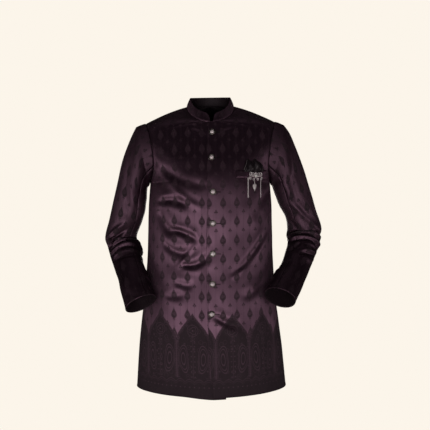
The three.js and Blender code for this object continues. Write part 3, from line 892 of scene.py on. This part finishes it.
def figures_group():
    """All-over woven figures: an upright leaf with a stem and an open flower in it, a
    three-dot sprig half a repeat across and up, and fine dotted lines through both."""
    tree, source, sink = new_group(
        "Woven figures", [("Cloth", "NodeSocketVector")], [("Figure", "NodeSocketFloat")]
    )
    u, v = split(tree, source.outputs[0])
    p = (u - FIGURE_START[0]).fold(FIGURE_STEP[0])
    q = (v - FIGURE_START[1]).fold(FIGURE_STEP[1])
    # the leaf: full and round near its foot, drawn in to a point at its head
    rise = ((q + 14.5) / 31.0).high(0.0).low(1.0)
    width = 9.8 * ((rise**0.7) * math.pi).sine() * (1.06 - 0.36 * rise)
    inside = (p.size() - width).below(0.0, 0.9) * ((q - 1.0).size() - 15.6).below(0.0, 0.6)
    rim = (p.size() - width + 2.6).size().below(0.5, 0.8)
    around = root(p, q + 1.5)
    petals = (around + 1.3 * ((p / (q.size() + 0.6)) * 2.2).sine()).below(4.8, 0.8)
    heart = around.below(1.2, 0.6)
    leaf = inside * (1.0 - 0.42 * rim) * (1.0 - 0.36 * (petals - heart).high(0.0))
    stem = p.size().below(0.7, 0.6) * ((q + 17.5).size() - 5.0).below(0.0, 1.0)
    foot = root(p.size() - 2.6, q + 16.5).below(1.5, 0.8)
    tip = root(p, q - 18.4).below(1.2, 0.8)
    # the sprig: three dots over a short stem
    g = (u - FIGURE_START[0] + FIGURE_STEP[0] / 2).fold(FIGURE_STEP[0])
    h = (v - FIGURE_START[1] + FIGURE_STEP[1] / 2).fold(FIGURE_STEP[1])
    side_dots = root(g.size() - 3.1, h + 1.6).below(2.2, 0.9)
    top_dot = root(g, h - 2.8).below(2.4, 0.9)
    short = g.size().below(0.5, 0.5) * ((h + 4.5).size() - 3.0).below(0.0, 1.0)
    line = (u - FIGURE_START[0]).fold(FIGURE_STEP[0] / 2).size().below(0.55, 0.7)
    dots = (v.fold(3.6).size()).below(1.0, 0.6)
    thread = 0.55 * line * dots
    figure = leaf
    for part in (stem, tip, foot, side_dots, top_dot, short, thread):
        figure = figure.high(part)
    tree.links.new(figure.socket, sink.inputs[0])
    return tree


def border_group():
    """The hem's border: a row of pointed arches with a plain field, each holding a
    curled leaf and a flower, over two scalloped lines and a plain band."""
    tree, source, sink = new_group(
        "Hem border",
        [("Cloth", "NodeSocketVector")],
        [("Field", "NodeSocketFloat"), ("Lines", "NodeSocketFloat")],
    )
    u, v = split(tree, source.outputs[0])
    p = (u - BORDER_START).fold(BORDER_STEP)
    # half width of the arch: full at its shoulders, then drawn in to a tall point
    rise = ((v - ARCH_FOOT) / ARCH_RISE).high(0.0).low(1.0)
    width = ARCH_HALF * (((1.0 - rise) * (math.pi / 2)).sine() ** 1.25)
    gap = p.size() - width
    on = (v - BORDER_TOP).below(0.0, 1.0) * (0.0 - v).below(0.0, 0.1)
    field = gap.below(0.0, 2.0) * on
    outline = (gap + 3.0).size().below(0.9, 1.0) + 0.7 * (gap + 8.0).size().below(0.6, 0.9)
    beads = (gap + 5.5).size().below(1.0, 0.8) * v.fold(5.0).size().below(1.2, 0.8)
    # curled leaves left and right of the arch's middle: nested ovals that lean
    s = p.size()
    lean = s - 22.0 - 9.0 * ((v - 60.0) / 40.0).sine()
    oval = root(lean / 15.0, (v - LEAF_HIGH) / 40.0)
    rings = (oval - 1.0).size().below(0.04, 0.06) + (oval - 0.78).size().below(0.035, 0.05)
    rings = rings + (oval - 0.42).size().below(0.06, 0.07)
    # an open flower at the arch's head, and a tall stem of buds under it
    flower = root(p, v - FLOWER_HIGH)
    petals = ((p / ((v - FLOWER_HIGH).size() + 1.0)) * 2.0).sine()
    bloom = (flower + 2.4 * petals - 10.0).size()
    rings = rings + bloom.below(0.9, 1.0) + flower.below(2.6, 1.0)
    rings = rings + (flower - 16.5).size().below(0.7, 0.9)
    buds = root(p.size() - 5.0, v.fold(15.0)).below(2.1, 1.0) * (v - 176.0).below(0.0, 2.0)
    rings = rings + 0.8 * buds + 0.8 * p.size().below(0.7, 0.8) * (v - 184.0).below(0.0, 2.0)
    # fine tracery between the leaves: small open rounds, unevenly spread
    mapping = tree.nodes.new("ShaderNodeMapping")
    mapping.inputs["Scale"].default_value = (58.0, 58.0, 0.0)
    tree.links.new(source.outputs[0], mapping.inputs["Vector"])
    spots = tree.nodes.new("ShaderNodeTexVoronoi")
    spots.inputs["Scale"].default_value = 1.0
    spots.inputs["Randomness"].default_value = 0.55
    tree.links.new(mapping.outputs[0], spots.inputs["Vector"])
    near = Wire(tree, spots.outputs["Distance"])
    tracery = (near - 0.36).size().below(0.03, 0.06) + near.below(0.11, 0.06)
    clear = (oval - 1.08).below(0.0, 0.05).high((flower - 19.0).below(0.0, 1.0))
    rings = rings + 0.7 * tracery * (1.0 - clear)
    # scalloped lines and dots over the plain band
    wave = 9.0 * ((u * (math.pi / 29.0)).sine().size())
    scallop = (v - 44.0 - wave).size().below(0.8, 1.0) + (v - 38.0 - wave).size().below(0.5, 0.8)
    row = root(u.fold(14.5), v - 30.0).below(1.8, 1.0)
    above = (56.0 - v).below(0.0, 4.0)
    rings = rings * above
    lines = (outline + beads).low(1.0) * above * (v - BORDER_TOP).below(0.0, 6.0)
    lines = (lines + (rings * field) + scallop + row).low(1.0) * on
    tree.links.new(field.socket, sink.inputs[0])
    tree.links.new(lines.socket, sink.inputs[1])
    return tree


def weave_group():
    """Satin threads: fine slanting floats as height, and slow streaks along the warp."""
    tree, source, sink = new_group(
        "Satin weave",
        [("Cloth", "NodeSocketVector")],
        [("Height", "NodeSocketFloat"), ("Streak", "NodeSocketFloat")],
    )
    u, v = split(tree, source.outputs[0])
    floats = ((u * 7.4 + v * 2.3).sine() * (v * 9.2).sine()) * 0.5 + 0.5
    mapping = tree.nodes.new("ShaderNodeMapping")
    mapping.inputs["Scale"].default_value = (420.0, 16.0, 1.0)
    tree.links.new(source.outputs[0], mapping.inputs["Vector"])
    streak = noise(tree, mapping.outputs[0], 1.0, 3.0)
    tree.links.new(floats.socket, sink.inputs[0])
    tree.links.new(streak.socket, sink.inputs[1])
    return tree


def wear_group():
    """Darker patches spread by slow and fine noise, and the fine noise as a height."""
    tree, source, sink = new_group(
        "Metal wear",
        [("Place", "NodeSocketVector")],
        [("Dark", "NodeSocketFloat"), ("Height", "NodeSocketFloat")],
    )
    slow = noise(tree, source.outputs[0], 260.0, 4.0)
    fine = noise(tree, source.outputs[0], 1500.0, 2.0)
    tree.links.new((slow * 0.7 + fine * 0.3).socket, sink.inputs[0])
    tree.links.new(fine.socket, sink.inputs[1])
    return tree


def group(tree, name, build):
    """Places a shared group in a material, building it once."""
    node = tree.nodes.new("ShaderNodeGroup")
    node.node_tree = bpy.data.node_groups.get(name) or build()
    return node


def blend_colour(tree, mask, low, high):
    """One colour where the mask is nought and another where it is one."""
    node = tree.nodes.new("ShaderNodeMix")
    node.data_type = "RGBA"
    tree.links.new(mask.socket, node.inputs[0])
    for place_in, value in ((6, low), (7, high)):
        if isinstance(value, bpy.types.NodeSocket):
            tree.links.new(value, node.inputs[place_in])
        else:
            node.inputs[place_in].default_value = (*value, 1.0)
    return node.outputs[2]


def start_material(name, **values):
    """A material with plain values on its shader, or the one that is there already."""
    found = bpy.data.materials.get(name)
    if found:
        return found, None, None
    material = bpy.data.materials.new(name)
    material.use_nodes = True
    shader = material.node_tree.nodes["Principled BSDF"]
    for word, value in values.items():
        shader.inputs[word.replace("_", " ")].default_value = value
    return material, material.node_tree, shader


def cloth_vector(tree):
    """The piece's own cloth coordinates."""
    node = tree.nodes.new("ShaderNodeUVMap")
    node.uv_map = "Cloth"
    return node.outputs[0]


def bump(tree, shader, height, distance, strength=1.0):
    """Fine relief from a height that changes over the surface."""
    node = tree.nodes.new("ShaderNodeBump")
    node.inputs["Distance"].default_value = distance
    node.inputs["Strength"].default_value = strength
    tree.links.new(height.socket, node.inputs["Height"])
    tree.links.new(node.outputs[0], shader.inputs["Normal"])


def jacquard_material(name, painted_shade_scale, roughness):
    """Shiny satin ground with dull woven figures, and the arched border at the hem. Its
    long floats gleam wide across the cloth and narrow along it. Its second argument, when under
    one, darkens the satin and figure colours as painted shade, so a copy looks less lit."""
    material, tree, shader = start_material(name, Specular_IOR_Level=0.22, Anisotropic=0.7)
    if tree is None:
        return material
    across = tree.nodes.new("ShaderNodeTangent")
    across.direction_type = "UV_MAP"
    across.uv_map = "Cloth"
    tree.links.new(across.outputs[0], shader.inputs["Tangent"])
    # painted shade: a scale under one darkens the satin colour, and the figure colour by half as
    # much
    satin = [c * painted_shade_scale for c in sizes().satin]
    place_in = cloth_vector(tree)
    figures = group(tree, "Woven figures", figures_group)
    border = group(tree, "Hem border", border_group)
    weave = group(tree, "Satin weave", weave_group)
    for node in (figures, border, weave):
        tree.links.new(place_in, node.inputs[0])
    figure = Wire(tree, figures.outputs[0])
    field, lines = (Wire(tree, border.outputs[i]) for i in (0, 1))
    height, streak = (Wire(tree, weave.outputs[i]) for i in (0, 1))
    dull = (figure * 0.8 * (1.0 - field)).high(field * 0.86) * (1.0 - 0.38 * lines)
    dull = dull.high(0.0).low(1.0)
    ground = blend_colour(tree, streak, satin, [0.8 * c for c in satin])
    quiet = [c * mix(1.0, painted_shade_scale, 0.5) for c in sizes().figure]
    woven = blend_colour(tree, field, quiet, [0.62 * c for c in quiet])
    _, v = split(tree, place_in)
    band = (v - 40.0).below(0.0, 90.0) * 0.45
    woven = blend_colour(tree, band, woven, [0.2 * c for c in quiet])
    colour = blend_colour(tree, dull, ground, woven)
    tree.links.new(colour, shader.inputs["Base Color"])
    tree.links.new((0.93 - 0.85 * dull).socket, shader.inputs["Metallic"])
    tree.links.new((roughness + 0.06 * streak + 0.24 * dull).socket, shader.inputs["Roughness"])
    bump(tree, shader, height * 0.25 + 1.6 * (1.0 - dull), 0.00012, 0.7)
    return material


def plain_satin_material(name, colour, roughness):
    """Plain satin for the lining, the square and threads."""
    values = {"Sheen_Weight": 0.02, "Specular_IOR_Level": 0.3, "Metallic": 0.35}
    material, tree, shader = start_material(name, **values)
    if tree is None:
        return material
    weave = group(tree, "Satin weave", weave_group)
    tree.links.new(cloth_vector(tree), weave.inputs[0])
    height, streak = (Wire(tree, weave.outputs[i]) for i in (0, 1))
    shade = blend_colour(tree, streak, colour, tuple(0.72 * c for c in colour))
    tree.links.new(shade, shader.inputs["Base Color"])
    tree.links.new((roughness + 0.1 * streak).socket, shader.inputs["Roughness"])
    bump(tree, shader, height, 0.00006, 0.6)
    return material


def metal_material(name, bright, dark, roughness, metallic=1.0):
    """Polished metal with darker patches spread by noise."""
    values = {"Metallic": metallic, "Specular_IOR_Level": 0.9, "Coat_Weight": 0.7}
    material, tree, shader = start_material(name, **values)
    if tree is None:
        return material
    wear = group(tree, "Metal wear", wear_group)
    place_in = tree.nodes.new("ShaderNodeTexCoord").outputs["Object"]
    tree.links.new(place_in, wear.inputs[0])
    mask, height = (Wire(tree, wear.outputs[i]) for i in (0, 1))
    mask = mask.below(0.5, 0.34)
    tree.links.new(blend_colour(tree, mask, bright, dark), shader.inputs["Base Color"])
    tree.links.new((roughness + 0.14 * mask).socket, shader.inputs["Roughness"])
    bump(tree, shader, height, 0.00003, 0.5)
    return material


# ---------------------------------------------------------------- sizes and colours to change


class SherwaniSizes(bpy.types.PropertyGroup):
    wall: bpy.props.FloatProperty(
        name="Cloth", description="Thickness of cloth with its lining, in millimetres",
        default=1.6, min=0.8, max=3.0,
    )
    crease: bpy.props.FloatProperty(
        name="Creases", description="How deep the creases are, as a share of their own depth",
        default=1.0, min=0.0, max=1.5, subtype="FACTOR",
    )
    satin: bpy.props.FloatVectorProperty(
        name="Satin", description="Colour of the shiny ground", subtype="COLOR",
        default=(0.152, 0.082, 0.119), min=0, max=1,
    )
    figure: bpy.props.FloatVectorProperty(
        name="Figures", description="Colour of the dull woven figures", subtype="COLOR",
        default=(0.026, 0.0145, 0.019), min=0, max=1,
    )
    lining: bpy.props.FloatVectorProperty(
        name="Lining", description="Colour of the inside", subtype="COLOR",
        default=(0.03, 0.017, 0.023), min=0, max=1,
    )
    floor: bpy.props.FloatProperty(
        name="Floor", description="Height of the studio floor", default=-1.46, unit="LENGTH",
    )


def sizes():
    """The sizes and colours in the panel."""
    return bpy.context.scene.sherwani


def looks(turned=False):
    """Outside and lining. For the sleeves the satin and figure colours are darkened as painted
    shade, so they look less lit to the front than the body, and the satin is a little rougher.
    """
    lining = plain_satin_material("lining satin", tuple(sizes().lining), 0.5)
    if turned:
        # painted shade: the sleeves' copy of the satin has its colours darkened to 0.6
        return [jacquard_material("jacquard satin with painted shade for the sleeves", 0.6, 0.48), lining]
    return [jacquard_material("jacquard satin", 1.0, 0.46), lining]


# ---------------------------------------------------------------- operators


class SHERWANI_OT_fronts(bpy.types.Operator):
    """Makes the lapped right front and left front"""

    bl_idname = "sherwani.fronts"
    bl_label = "Fronts"

    def execute(self, context):
        for side, over, word in ((1, True, "left"), (-1, False, "right")):
            grid = body_grid(True, side, over, sizes().crease)
            cloth_piece(f"front_panel_{word}", grid, sizes().wall, looks(), [f"front_{word}"])
        return {"FINISHED"}


class SHERWANI_OT_backs(bpy.types.Operator):
    """Makes the two back panels, which meet in the centre back seam"""

    bl_idname = "sherwani.backs"
    bl_label = "Backs"

    def execute(self, context):
        for side, word in ((1, "left"), (-1, "right")):
            grid = body_grid(False, side, True, sizes().crease)
            cloth_piece(f"back_panel_{word}", grid, sizes().wall, looks(), [f"back_{word}"])
        return {"FINISHED"}


class SHERWANI_OT_sleeves(bpy.types.Operator):
    """Makes the upper and under piece of both sleeves"""

    bl_idname = "sherwani.sleeves"
    bl_label = "Sleeves"

    def execute(self, context):
        front, back = SLEEVE_FRONT_SEAM, SLEEVE_BACK_SEAM
        arms = (
            (1, SLEEVE_LEFT, CREASES_LEFT_SLEEVE, "left"),
            (-1, SLEEVE_RIGHT, CREASES_RIGHT_SLEEVE, "right"),
        )
        for side, table, rows, word in arms:
            strips = (("upper", back - 360, front, -0.05), ("under", front, back, 1.3))
            for part, start, stop, under in strips:
                grid = sleeve_grid(side, table, start, stop, under, rows, sizes().crease)
                name = f"sleeve_{part}_cloth_{word}"
                nodes = [f"sleeve_{part}_{word}"]
                cloth_piece(name, grid, sizes().wall, looks(True), nodes)
        return {"FINISHED"}


class SHERWANI_OT_collar(bpy.types.Operator):
    """Makes the stand collar"""

    bl_idname = "sherwani.collar"
    bl_label = "Collar"

    def execute(self, context):
        obj = cloth_piece("collar_band", collar_grid(), 2.2, looks(), ["collar"])
        edge = obj.modifiers.new("soft edge", "BEVEL")
        edge.width = 0.7 * MM
        edge.segments = 2
        edge.limit_method = "ANGLE"
        return {"FINISHED"}


class SHERWANI_OT_pocket(bpy.types.Operator):
    """Makes the breast pocket's welt and the folded square in it"""

    bl_idname = "sherwani.pocket"
    bl_label = "Pocket"

    def execute(self, context):
        left, right, top_left, top_right, bottom = WELT
        i = np.linspace(0, 1, 14)[:, None]
        j = np.linspace(0, 1, 56)[None, :]
        x = mix(left, right, j) + 0 * i
        z = mix(bottom, mix(top_left, top_right, j), i)
        edge = np.minimum(np.minimum(i * 24, (1 - i) * 24), np.minimum(j * 101, (1 - j) * 101))
        lift = 1.2 + 1.9 * ease(edge / 3.0) - 0.35 * bell(edge - 4.5, 0.9)
        points, _ = front_surface(x, z, lift)
        uv = np.stack([x + 11.0, z + COAT_LENGTH - 6.0], -1)
        grid = (points, uv, False)
        cloth_piece("pocket_welt_band", grid, WELT_WALL, looks(), ["pocket_welt"])

        # the square: a puffed fold whose top edge rises and falls in uneven peaks
        j = np.linspace(0, 1, 90)[None, :]
        i = np.linspace(0, 1, 34)[:, None]
        x = mix(*SQUARE, j) + 0 * i
        peaks = curve(np.array(SQUARE_TOP, float)[:, None], j[0] * (len(SQUARE_TOP) - 1))[:, 0]
        low = mix(top_left, top_right, (x - left) / (right - left)) - 6
        z = mix(low, peaks[None, :], i)
        folds = 2.4 * np.sin(j * 19 + 2.2 * i) + 1.5 * np.sin(j * 33 - 3.0 * i + 1.0)
        puff = np.sin(np.pi * np.clip(0.06 + 0.86 * i, 0, 1))
        puff = puff * ease(j / 0.1) * ease((1 - j) / 0.1)
        points, _ = front_surface(x, z, 1.9 + (6.0 + folds) * puff)
        obj = mesh_piece("pocket_square_cloth", points, grid_faces(34, 90), np.stack([x, z], -1))
        satin = plain_satin_material("pocket square satin", (0.02, 0.012, 0.016), 0.34)
        obj.data.materials.append(satin)
        solid = obj.modifiers.new("wall", "SOLIDIFY")
        solid.thickness = SQUARE_WALL * MM
        solid.offset = -1

        # its rolled edge at the left, which leans, in a satin much lighter than the square's: a
        # painted highlight where light catches the edge
        up = np.linspace(0, 1, 16)
        lift = 3.0 + 3.4 * np.sin(np.pi * up * 0.8)
        path, _ = front_surface(mix(95, 104, up), mix(-206, -177, up), lift)
        rolled = plain_satin_material("painted highlight satin of the edge", (0.16, 0.13, 0.14), 0.4)
        parts = [tube(path, 1.3 - 0.5 * up, 10)]
        edge = hard_piece("pocket_square_roll", parts, rolled)
        cloth_from_place(edge)
        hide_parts("pocket_square")
        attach(obj, "coat")
        return {"FINISHED"}


class SHERWANI_OT_buttons(bpy.types.Operator):
    """Makes the seven buttons, their beaded rims and their worked buttonholes"""

    bl_idname = "sherwani.buttons"
    bl_label = "Buttons"

    def execute(self, context):
        a = np.arange(BEADS) * 2 * np.pi / BEADS
        rim, dome, bead = lathe(BUTTON_RIM, 40), lathe(BUTTON_DOME, 28), lathe(BEAD, 6)
        bezels, domes, holes, petals = [], [], [], []
        for x, z, turn, tip in BUTTONS:
            # the seat is level across the front edge and leans only with the cloth
            spot, normal = front_surface(max(x, 0.5), z, 0.35 + 0.2 * abs(turn))
            spot = spot + np.array([x - spot[0], 0, 0])
            out = np.array([math.sin(math.radians(turn)), normal[1], normal[2] + tip * 0.01])
            bezels.append((place(rim[0], spot, out), rim[1]))
            for angle in a:
                r, high = BEAD_RING
                centre = np.array([r * math.cos(angle), r * math.sin(angle), high])
                bezels.append((place(bead[0] + centre, spot, out), bead[1]))
            domes.append((place(dome[0], spot, out), dome[1]))
            # a small raised bud of petals on the dome
            for angle in np.arange(6) * np.pi / 3:
                c, s = math.cos(angle), math.sin(angle)
                path = np.array(PETAL) @ np.array([[c, s, 0], [-s, c, 0], [0, 0, 1]])
                points, quads = tube(path, PETAL_THICK, 6)
                petals.append((place(points, spot, out), quads))
            # the buttonhole: a dark slit with a bar of thread along each side
            for lane, radius in ((0.9, 0.55), (-0.9, 0.55), (0.0, 0.35)):
                xs = np.linspace(x - 2, x + 24, 40)
                path, _ = front_surface(xs, z - 0.4 + lane, 0.25)
                radii = radius * (0.8 + 0.2 * np.cos(np.arange(40) * np.pi))
                holes.append(tube(path, radii, 6))
        bronze = metal_material("aged bronze", (0.22, 0.19, 0.165), (0.03, 0.025, 0.022), 0.3)
        pale, dark = (0.98, 0.87, 0.89), (0.72, 0.58, 0.61)
        silver = metal_material("button silver", pale, dark, 0.24, 0.15)
        thread = plain_satin_material("buttonhole thread", (0.012, 0.007, 0.009), 0.6)
        rims, tops = (
            [f"button_{i + 1}_{word}" for i in range(len(BUTTONS))] for word in ("bezel", "dome")
        )
        hard_piece("button_rims", bezels, bronze, rims)
        hard_piece("button_domes", domes + petals, silver, tops)
        cloth_from_place(hard_piece("buttonholes", holes, thread))
        return {"FINISHED"}


def node_box(node):
    """The lowest and highest corner of a node, in millimetres."""
    low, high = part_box(node)
    return np.array(low) / MM, np.array(high) / MM


def top_of(node):
    """The middle of a node's upper end, where it hangs."""
    low, high = node_box(node)
    return np.array([(low[0] + high[0]) / 2, (low[1] + high[1]) / 2, high[2]])


def spiral(centre, start, sweep, r0, r1, n=26):
    """A scroll: an arc whose radius shrinks evenly as it turns."""
    a = np.radians(start + np.linspace(0, sweep, n))
    r = np.linspace(r0, r1, n)
    return np.stack([centre[0] + r * np.cos(a), centre[1] + r * np.sin(a), 0 * a], -1)


def chain(length, radius):
    """Oval links one under the next, every second one turned a quarter round."""
    parts = []
    link_long, wire = 3.6 * radius, 0.38 * radius
    a = np.arange(14) * 2 * np.pi / 14
    count = int(length / (link_long * 0.72))
    for i in range(count):
        wide, tall = radius * 0.85 * np.cos(a), (link_long / 2) * np.sin(a)
        middle = -(i + 0.5) * length / count
        if i % 2:
            path = np.stack([0 * a, tall + middle, wide], -1)
        else:
            path = np.stack([wide, tall + middle, 0 * a], -1)
        parts.append(tube(path, wire, 6, closed=True))
    return parts


class SHERWANI_OT_brooch(bpy.types.Operator):
    """Makes the scrolled brooch with its stone, drop and two chain strands"""

    bl_idname = "sherwani.brooch"
    bl_label = "Brooch"

    def execute(self, context):
        pale, dark = (0.98, 0.89, 0.9), (0.66, 0.56, 0.58)
        silver = metal_material("brooch silver", pale, dark, 0.3, 0.2)
        pearl = metal_material("pearl", (0.95, 0.87, 0.87), (0.84, 0.74, 0.74), 0.16, 0.1)
        _, normal = front_surface(BROOCH[0] - 4, BROOCH[1], 0)
        out = np.array([normal[0], normal[1], 0.0])
        low, high = node_box("brooch_plate")
        seat = np.array([(low[0] + high[0]) / 2, (low[1] + high[1]) / 2, BROOCH[1]])
        shapes = []
        for side in (-1, 1):
            for x, z, start, sweep, r0, r1 in SCROLLS:
                start = 90 + side * (start - 90)
                path = spiral((side * x, z), start, side * sweep, r0, r1)
                path = path * np.array(SCROLL_STRETCH)
                shapes.append(tube(path, np.linspace(1.15, 0.7, len(path)), 8))
        wave = np.linspace(-5, 5, 30)
        bar = np.stack([4.8 * wave, 1.4 * np.cos(wave), -0.6 + 0 * wave], -1)
        shapes.append(tube(bar, 1.3, 8))
        shapes.append(tube(curve(CROWN, np.linspace(0, len(CROWN) - 1, 40)), 0.9, 8))
        ring = np.radians(np.arange(28) * 360 / 28)
        setting = np.stack([4.9 * np.cos(ring), 4.9 * np.sin(ring), 1.0 + 0 * ring], -1)
        shapes.append(tube(setting, 0.8, 8, closed=True))
        grain = lathe(GRAIN, 8)
        for angle in np.radians(np.arange(12) * 30):
            r, lift = GRAIN_RING
            spot = np.array([r * math.cos(angle), r * math.sin(angle), lift])
            shapes.append((grain[0] + spot, grain[1]))
        parts = [(place(p, seat, out), q) for p, q in shapes]
        hard_piece("brooch_scrolls", parts, silver, ["brooch_plate"])

        a = np.linspace(-math.pi / 2, math.pi / 2, 14)
        half = PEARL * np.stack([np.cos(a), np.sin(a)], -1)
        half[[0, -1], 0] = 0
        ball = lathe(half, 28)
        centre = sum(node_box("brooch_stone")) / 2
        parts = [(place(ball[0], centre, out), ball[1])]
        hard_piece("brooch_pearl", parts, pearl, ["brooch_stone"])

        # the drop: a ring, a short stem and a pointed leaf with a raised rim
        eye = np.stack([1.5 * np.cos(ring), 1.5 * np.sin(ring) - 1.5, 0 * ring], -1)
        shapes = [tube(eye, 0.4, 6, closed=True), tube(DROP_STEM, 0.8, 8)]
        b = np.linspace(0, 2 * np.pi, 60, endpoint=False)
        wide = LEAF_SIZE[0] * np.sin(b) * np.abs(np.cos(b / 2)) ** 1.2
        tall = LEAF_SIZE[1] * np.cos(b)
        rim = np.stack([wide, LEAF_MIDDLE + tall, 0 * b], -1)
        shapes.append(tube(rim, 0.75, 8, closed=True))
        r = np.array([0.0, 0.35, 0.7, 1.0])[:, None]
        crown = 0.9 * (1 - r * r) + 0 * b
        front = np.stack([wide * r, LEAF_MIDDLE + tall * r, crown], -1)
        back = front * np.array([1, 1, -0.5])
        leaf = np.concatenate([front, back[::-1]])
        shapes.append((leaf.reshape(-1, 3), grid_faces(len(leaf), 60, flip=True, wrap=True)))
        shapes.append((ball[0] * 0.26 + np.array([0, -32.0, 0]), ball[1]))
        hang = top_of("brooch_drop")
        parts = [(place(p, hang, out), q) for p, q in shapes]
        hard_piece("brooch_leaf_drop", parts, silver, ["brooch_drop"], "drop")

        for word, length, radius in STRANDS:
            node = f"chain_strand_{word}"
            hang = top_of(node)
            parts = [(place(p, hang, out), q) for p, q in chain(length, radius)]
            hard_piece(f"chain_links_{word}", parts, silver, [node], f"strand_{word}")
        return {"FINISHED"}


PAPER = (0.973, 0.913, 0.823)
SKY = 0.025
LIGHT_COLOUR = (1.0, 0.975, 0.96)
# name, place, width and height, aim, watts
LIGHTS = (
    ("front_softbox", (-0.35, -3.2, -1.12), (3.2, 0.8), (0, 0, -0.6), 40),
    ("left_softbox", (-2.9, -1.3, -1.0), (0.9, 0.9), (0, 0, -0.5), 11),
    ("right_softbox", (2.9, -1.2, -0.95), (0.9, 0.9), (0, 0, -0.5), 9),
    ("back_softbox", (0.15, 2.7, -0.7), (1.3, 0.9), (0, 0, -0.5), 15),
    ("top_softbox", (0.0, -0.4, 2.4), (1.6, 1.2), (0, 0, -0.3), 2),
)
SENSOR = 36.0
LENS = 825.0 / 430.0 * SENSOR
CAMERA_REACH = 2.6
CAMERA_SWING = -3.0
CAMERA_AIM = (0.0148, -0.342)  # x, z


def seen_plain(tree, lit, glow, sink):
    """The camera sees the paper's plain colour, and all else gets the lit one."""
    glow.inputs["Color"].default_value = (*PAPER, 1)
    swap = tree.nodes.new("ShaderNodeMixShader")
    path = tree.nodes.new("ShaderNodeLightPath")
    tree.links.new(path.outputs["Is Camera Ray"], swap.inputs[0])
    tree.links.new(lit.outputs[0], swap.inputs[1])
    tree.links.new(glow.outputs[0], swap.inputs[2])
    tree.links.new(swap.outputs[0], sink.inputs[0])


class SHERWANI_OT_stage(bpy.types.Operator):
    """Makes the pale floor and backdrop, the soft lights and the camera"""

    bl_idname = "sherwani.stage"
    bl_label = "Stage"

    def execute(self, context):
        scene = context.scene
        scene.view_settings.view_transform = "Standard"
        # a wide floor that curves up behind the coat
        s = np.linspace(0, 1, 40)
        y = np.interp(s, [0, 0.5, 1], [-9.0, 2.2, 3.8])
        z = sizes().floor + 6.0 * ease((s - 0.5) / 0.5) ** 2
        x = np.linspace(-9, 9, 3)[None, :]
        points = np.stack([x + 0 * y[:, None], y[:, None] + 0 * x, z[:, None] + 0 * x], -1)
        floor = mesh_piece("studio_floor", points / MM, grid_faces(40, 3))
        material = bpy.data.materials.new("studio paper")
        material.use_nodes = True
        tree = material.node_tree
        shader = tree.nodes["Principled BSDF"]
        shader.inputs["Base Color"].default_value = (*(0.55 * c for c in PAPER), 1)
        shader.inputs["Roughness"].default_value = 0.9
        glow = tree.nodes.new("ShaderNodeEmission")
        seen_plain(tree, shader, glow, tree.nodes["Material Output"])
        floor.data.materials.append(material)

        world = scene.world or bpy.data.worlds.new("studio")
        scene.world = world
        world.use_nodes = True
        tree = world.node_tree
        sky = tree.nodes["Background"]
        sky.inputs["Color"].default_value = (0.5, 0.48, 0.5, 1)
        sky.inputs["Strength"].default_value = SKY
        glow = tree.nodes.new("ShaderNodeBackground")
        seen_plain(tree, sky, glow, tree.nodes["World Output"])

        for name, spot, size, aim, watts in LIGHTS:
            data = bpy.data.lights.new(name, "AREA")
            data.shape = "RECTANGLE"
            data.size, data.size_y = size
            data.energy = watts
            data.color = LIGHT_COLOUR
            obj = link(bpy.data.objects.new(name, data))
            obj.visible_camera = False
            obj.location = spot
            way = np.array(aim, float) - np.array(spot, float)
            flat = math.hypot(way[0], way[1])
            obj.rotation_euler = (math.atan2(flat, -way[2]), 0.0, math.atan2(-way[0], way[1]))

        lens = bpy.data.cameras.new("camera")
        lens.sensor_width = SENSOR
        lens.lens = LENS
        camera = link(bpy.data.objects.new("camera", lens))
        swing = math.radians(CAMERA_SWING)
        x, z = CAMERA_AIM
        camera.location = (x + math.sin(swing) * CAMERA_REACH, -math.cos(swing) * CAMERA_REACH, z)
        camera.rotation_euler = (math.pi / 2, 0.0, swing)
        scene.camera = camera
        return {"FINISHED"}


OPERATORS = (
    SHERWANI_OT_fronts,
    SHERWANI_OT_backs,
    SHERWANI_OT_sleeves,
    SHERWANI_OT_collar,
    SHERWANI_OT_pocket,
    SHERWANI_OT_buttons,
    SHERWANI_OT_brooch,
    SHERWANI_OT_stage,
)


class SHERWANI_PT_panel(bpy.types.Panel):
    """Lists the sizes and the pieces"""

    bl_idname = "SHERWANI_PT_panel"
    bl_label = "Sherwani"
    bl_space_type = "VIEW_3D"
    bl_region_type = "UI"
    bl_category = "Sherwani"

    def draw(self, context):
        for name in SherwaniSizes.__annotations__:
            self.layout.prop(context.scene.sherwani, name)
        for operator in OPERATORS:
            self.layout.operator(operator.bl_idname)


CLASSES = (SherwaniSizes, *OPERATORS, SHERWANI_PT_panel)


def register():
    """Adds the classes and the panel's values."""
    for item in CLASSES:
        bpy.utils.register_class(item)
    bpy.types.Scene.sherwani = bpy.props.PointerProperty(type=SherwaniSizes)


def unregister():
    """Takes the classes and the panel's values away."""
    del bpy.types.Scene.sherwani
    for item in reversed(CLASSES):
        bpy.utils.unregister_class(item)


def main():
    """Makes every piece in order."""
    register()
    for operator in OPERATORS:
        space, name = operator.bl_idname.split(".")
        getattr(getattr(bpy.ops, space), name)()


if __name__ == "__main__":
    main()
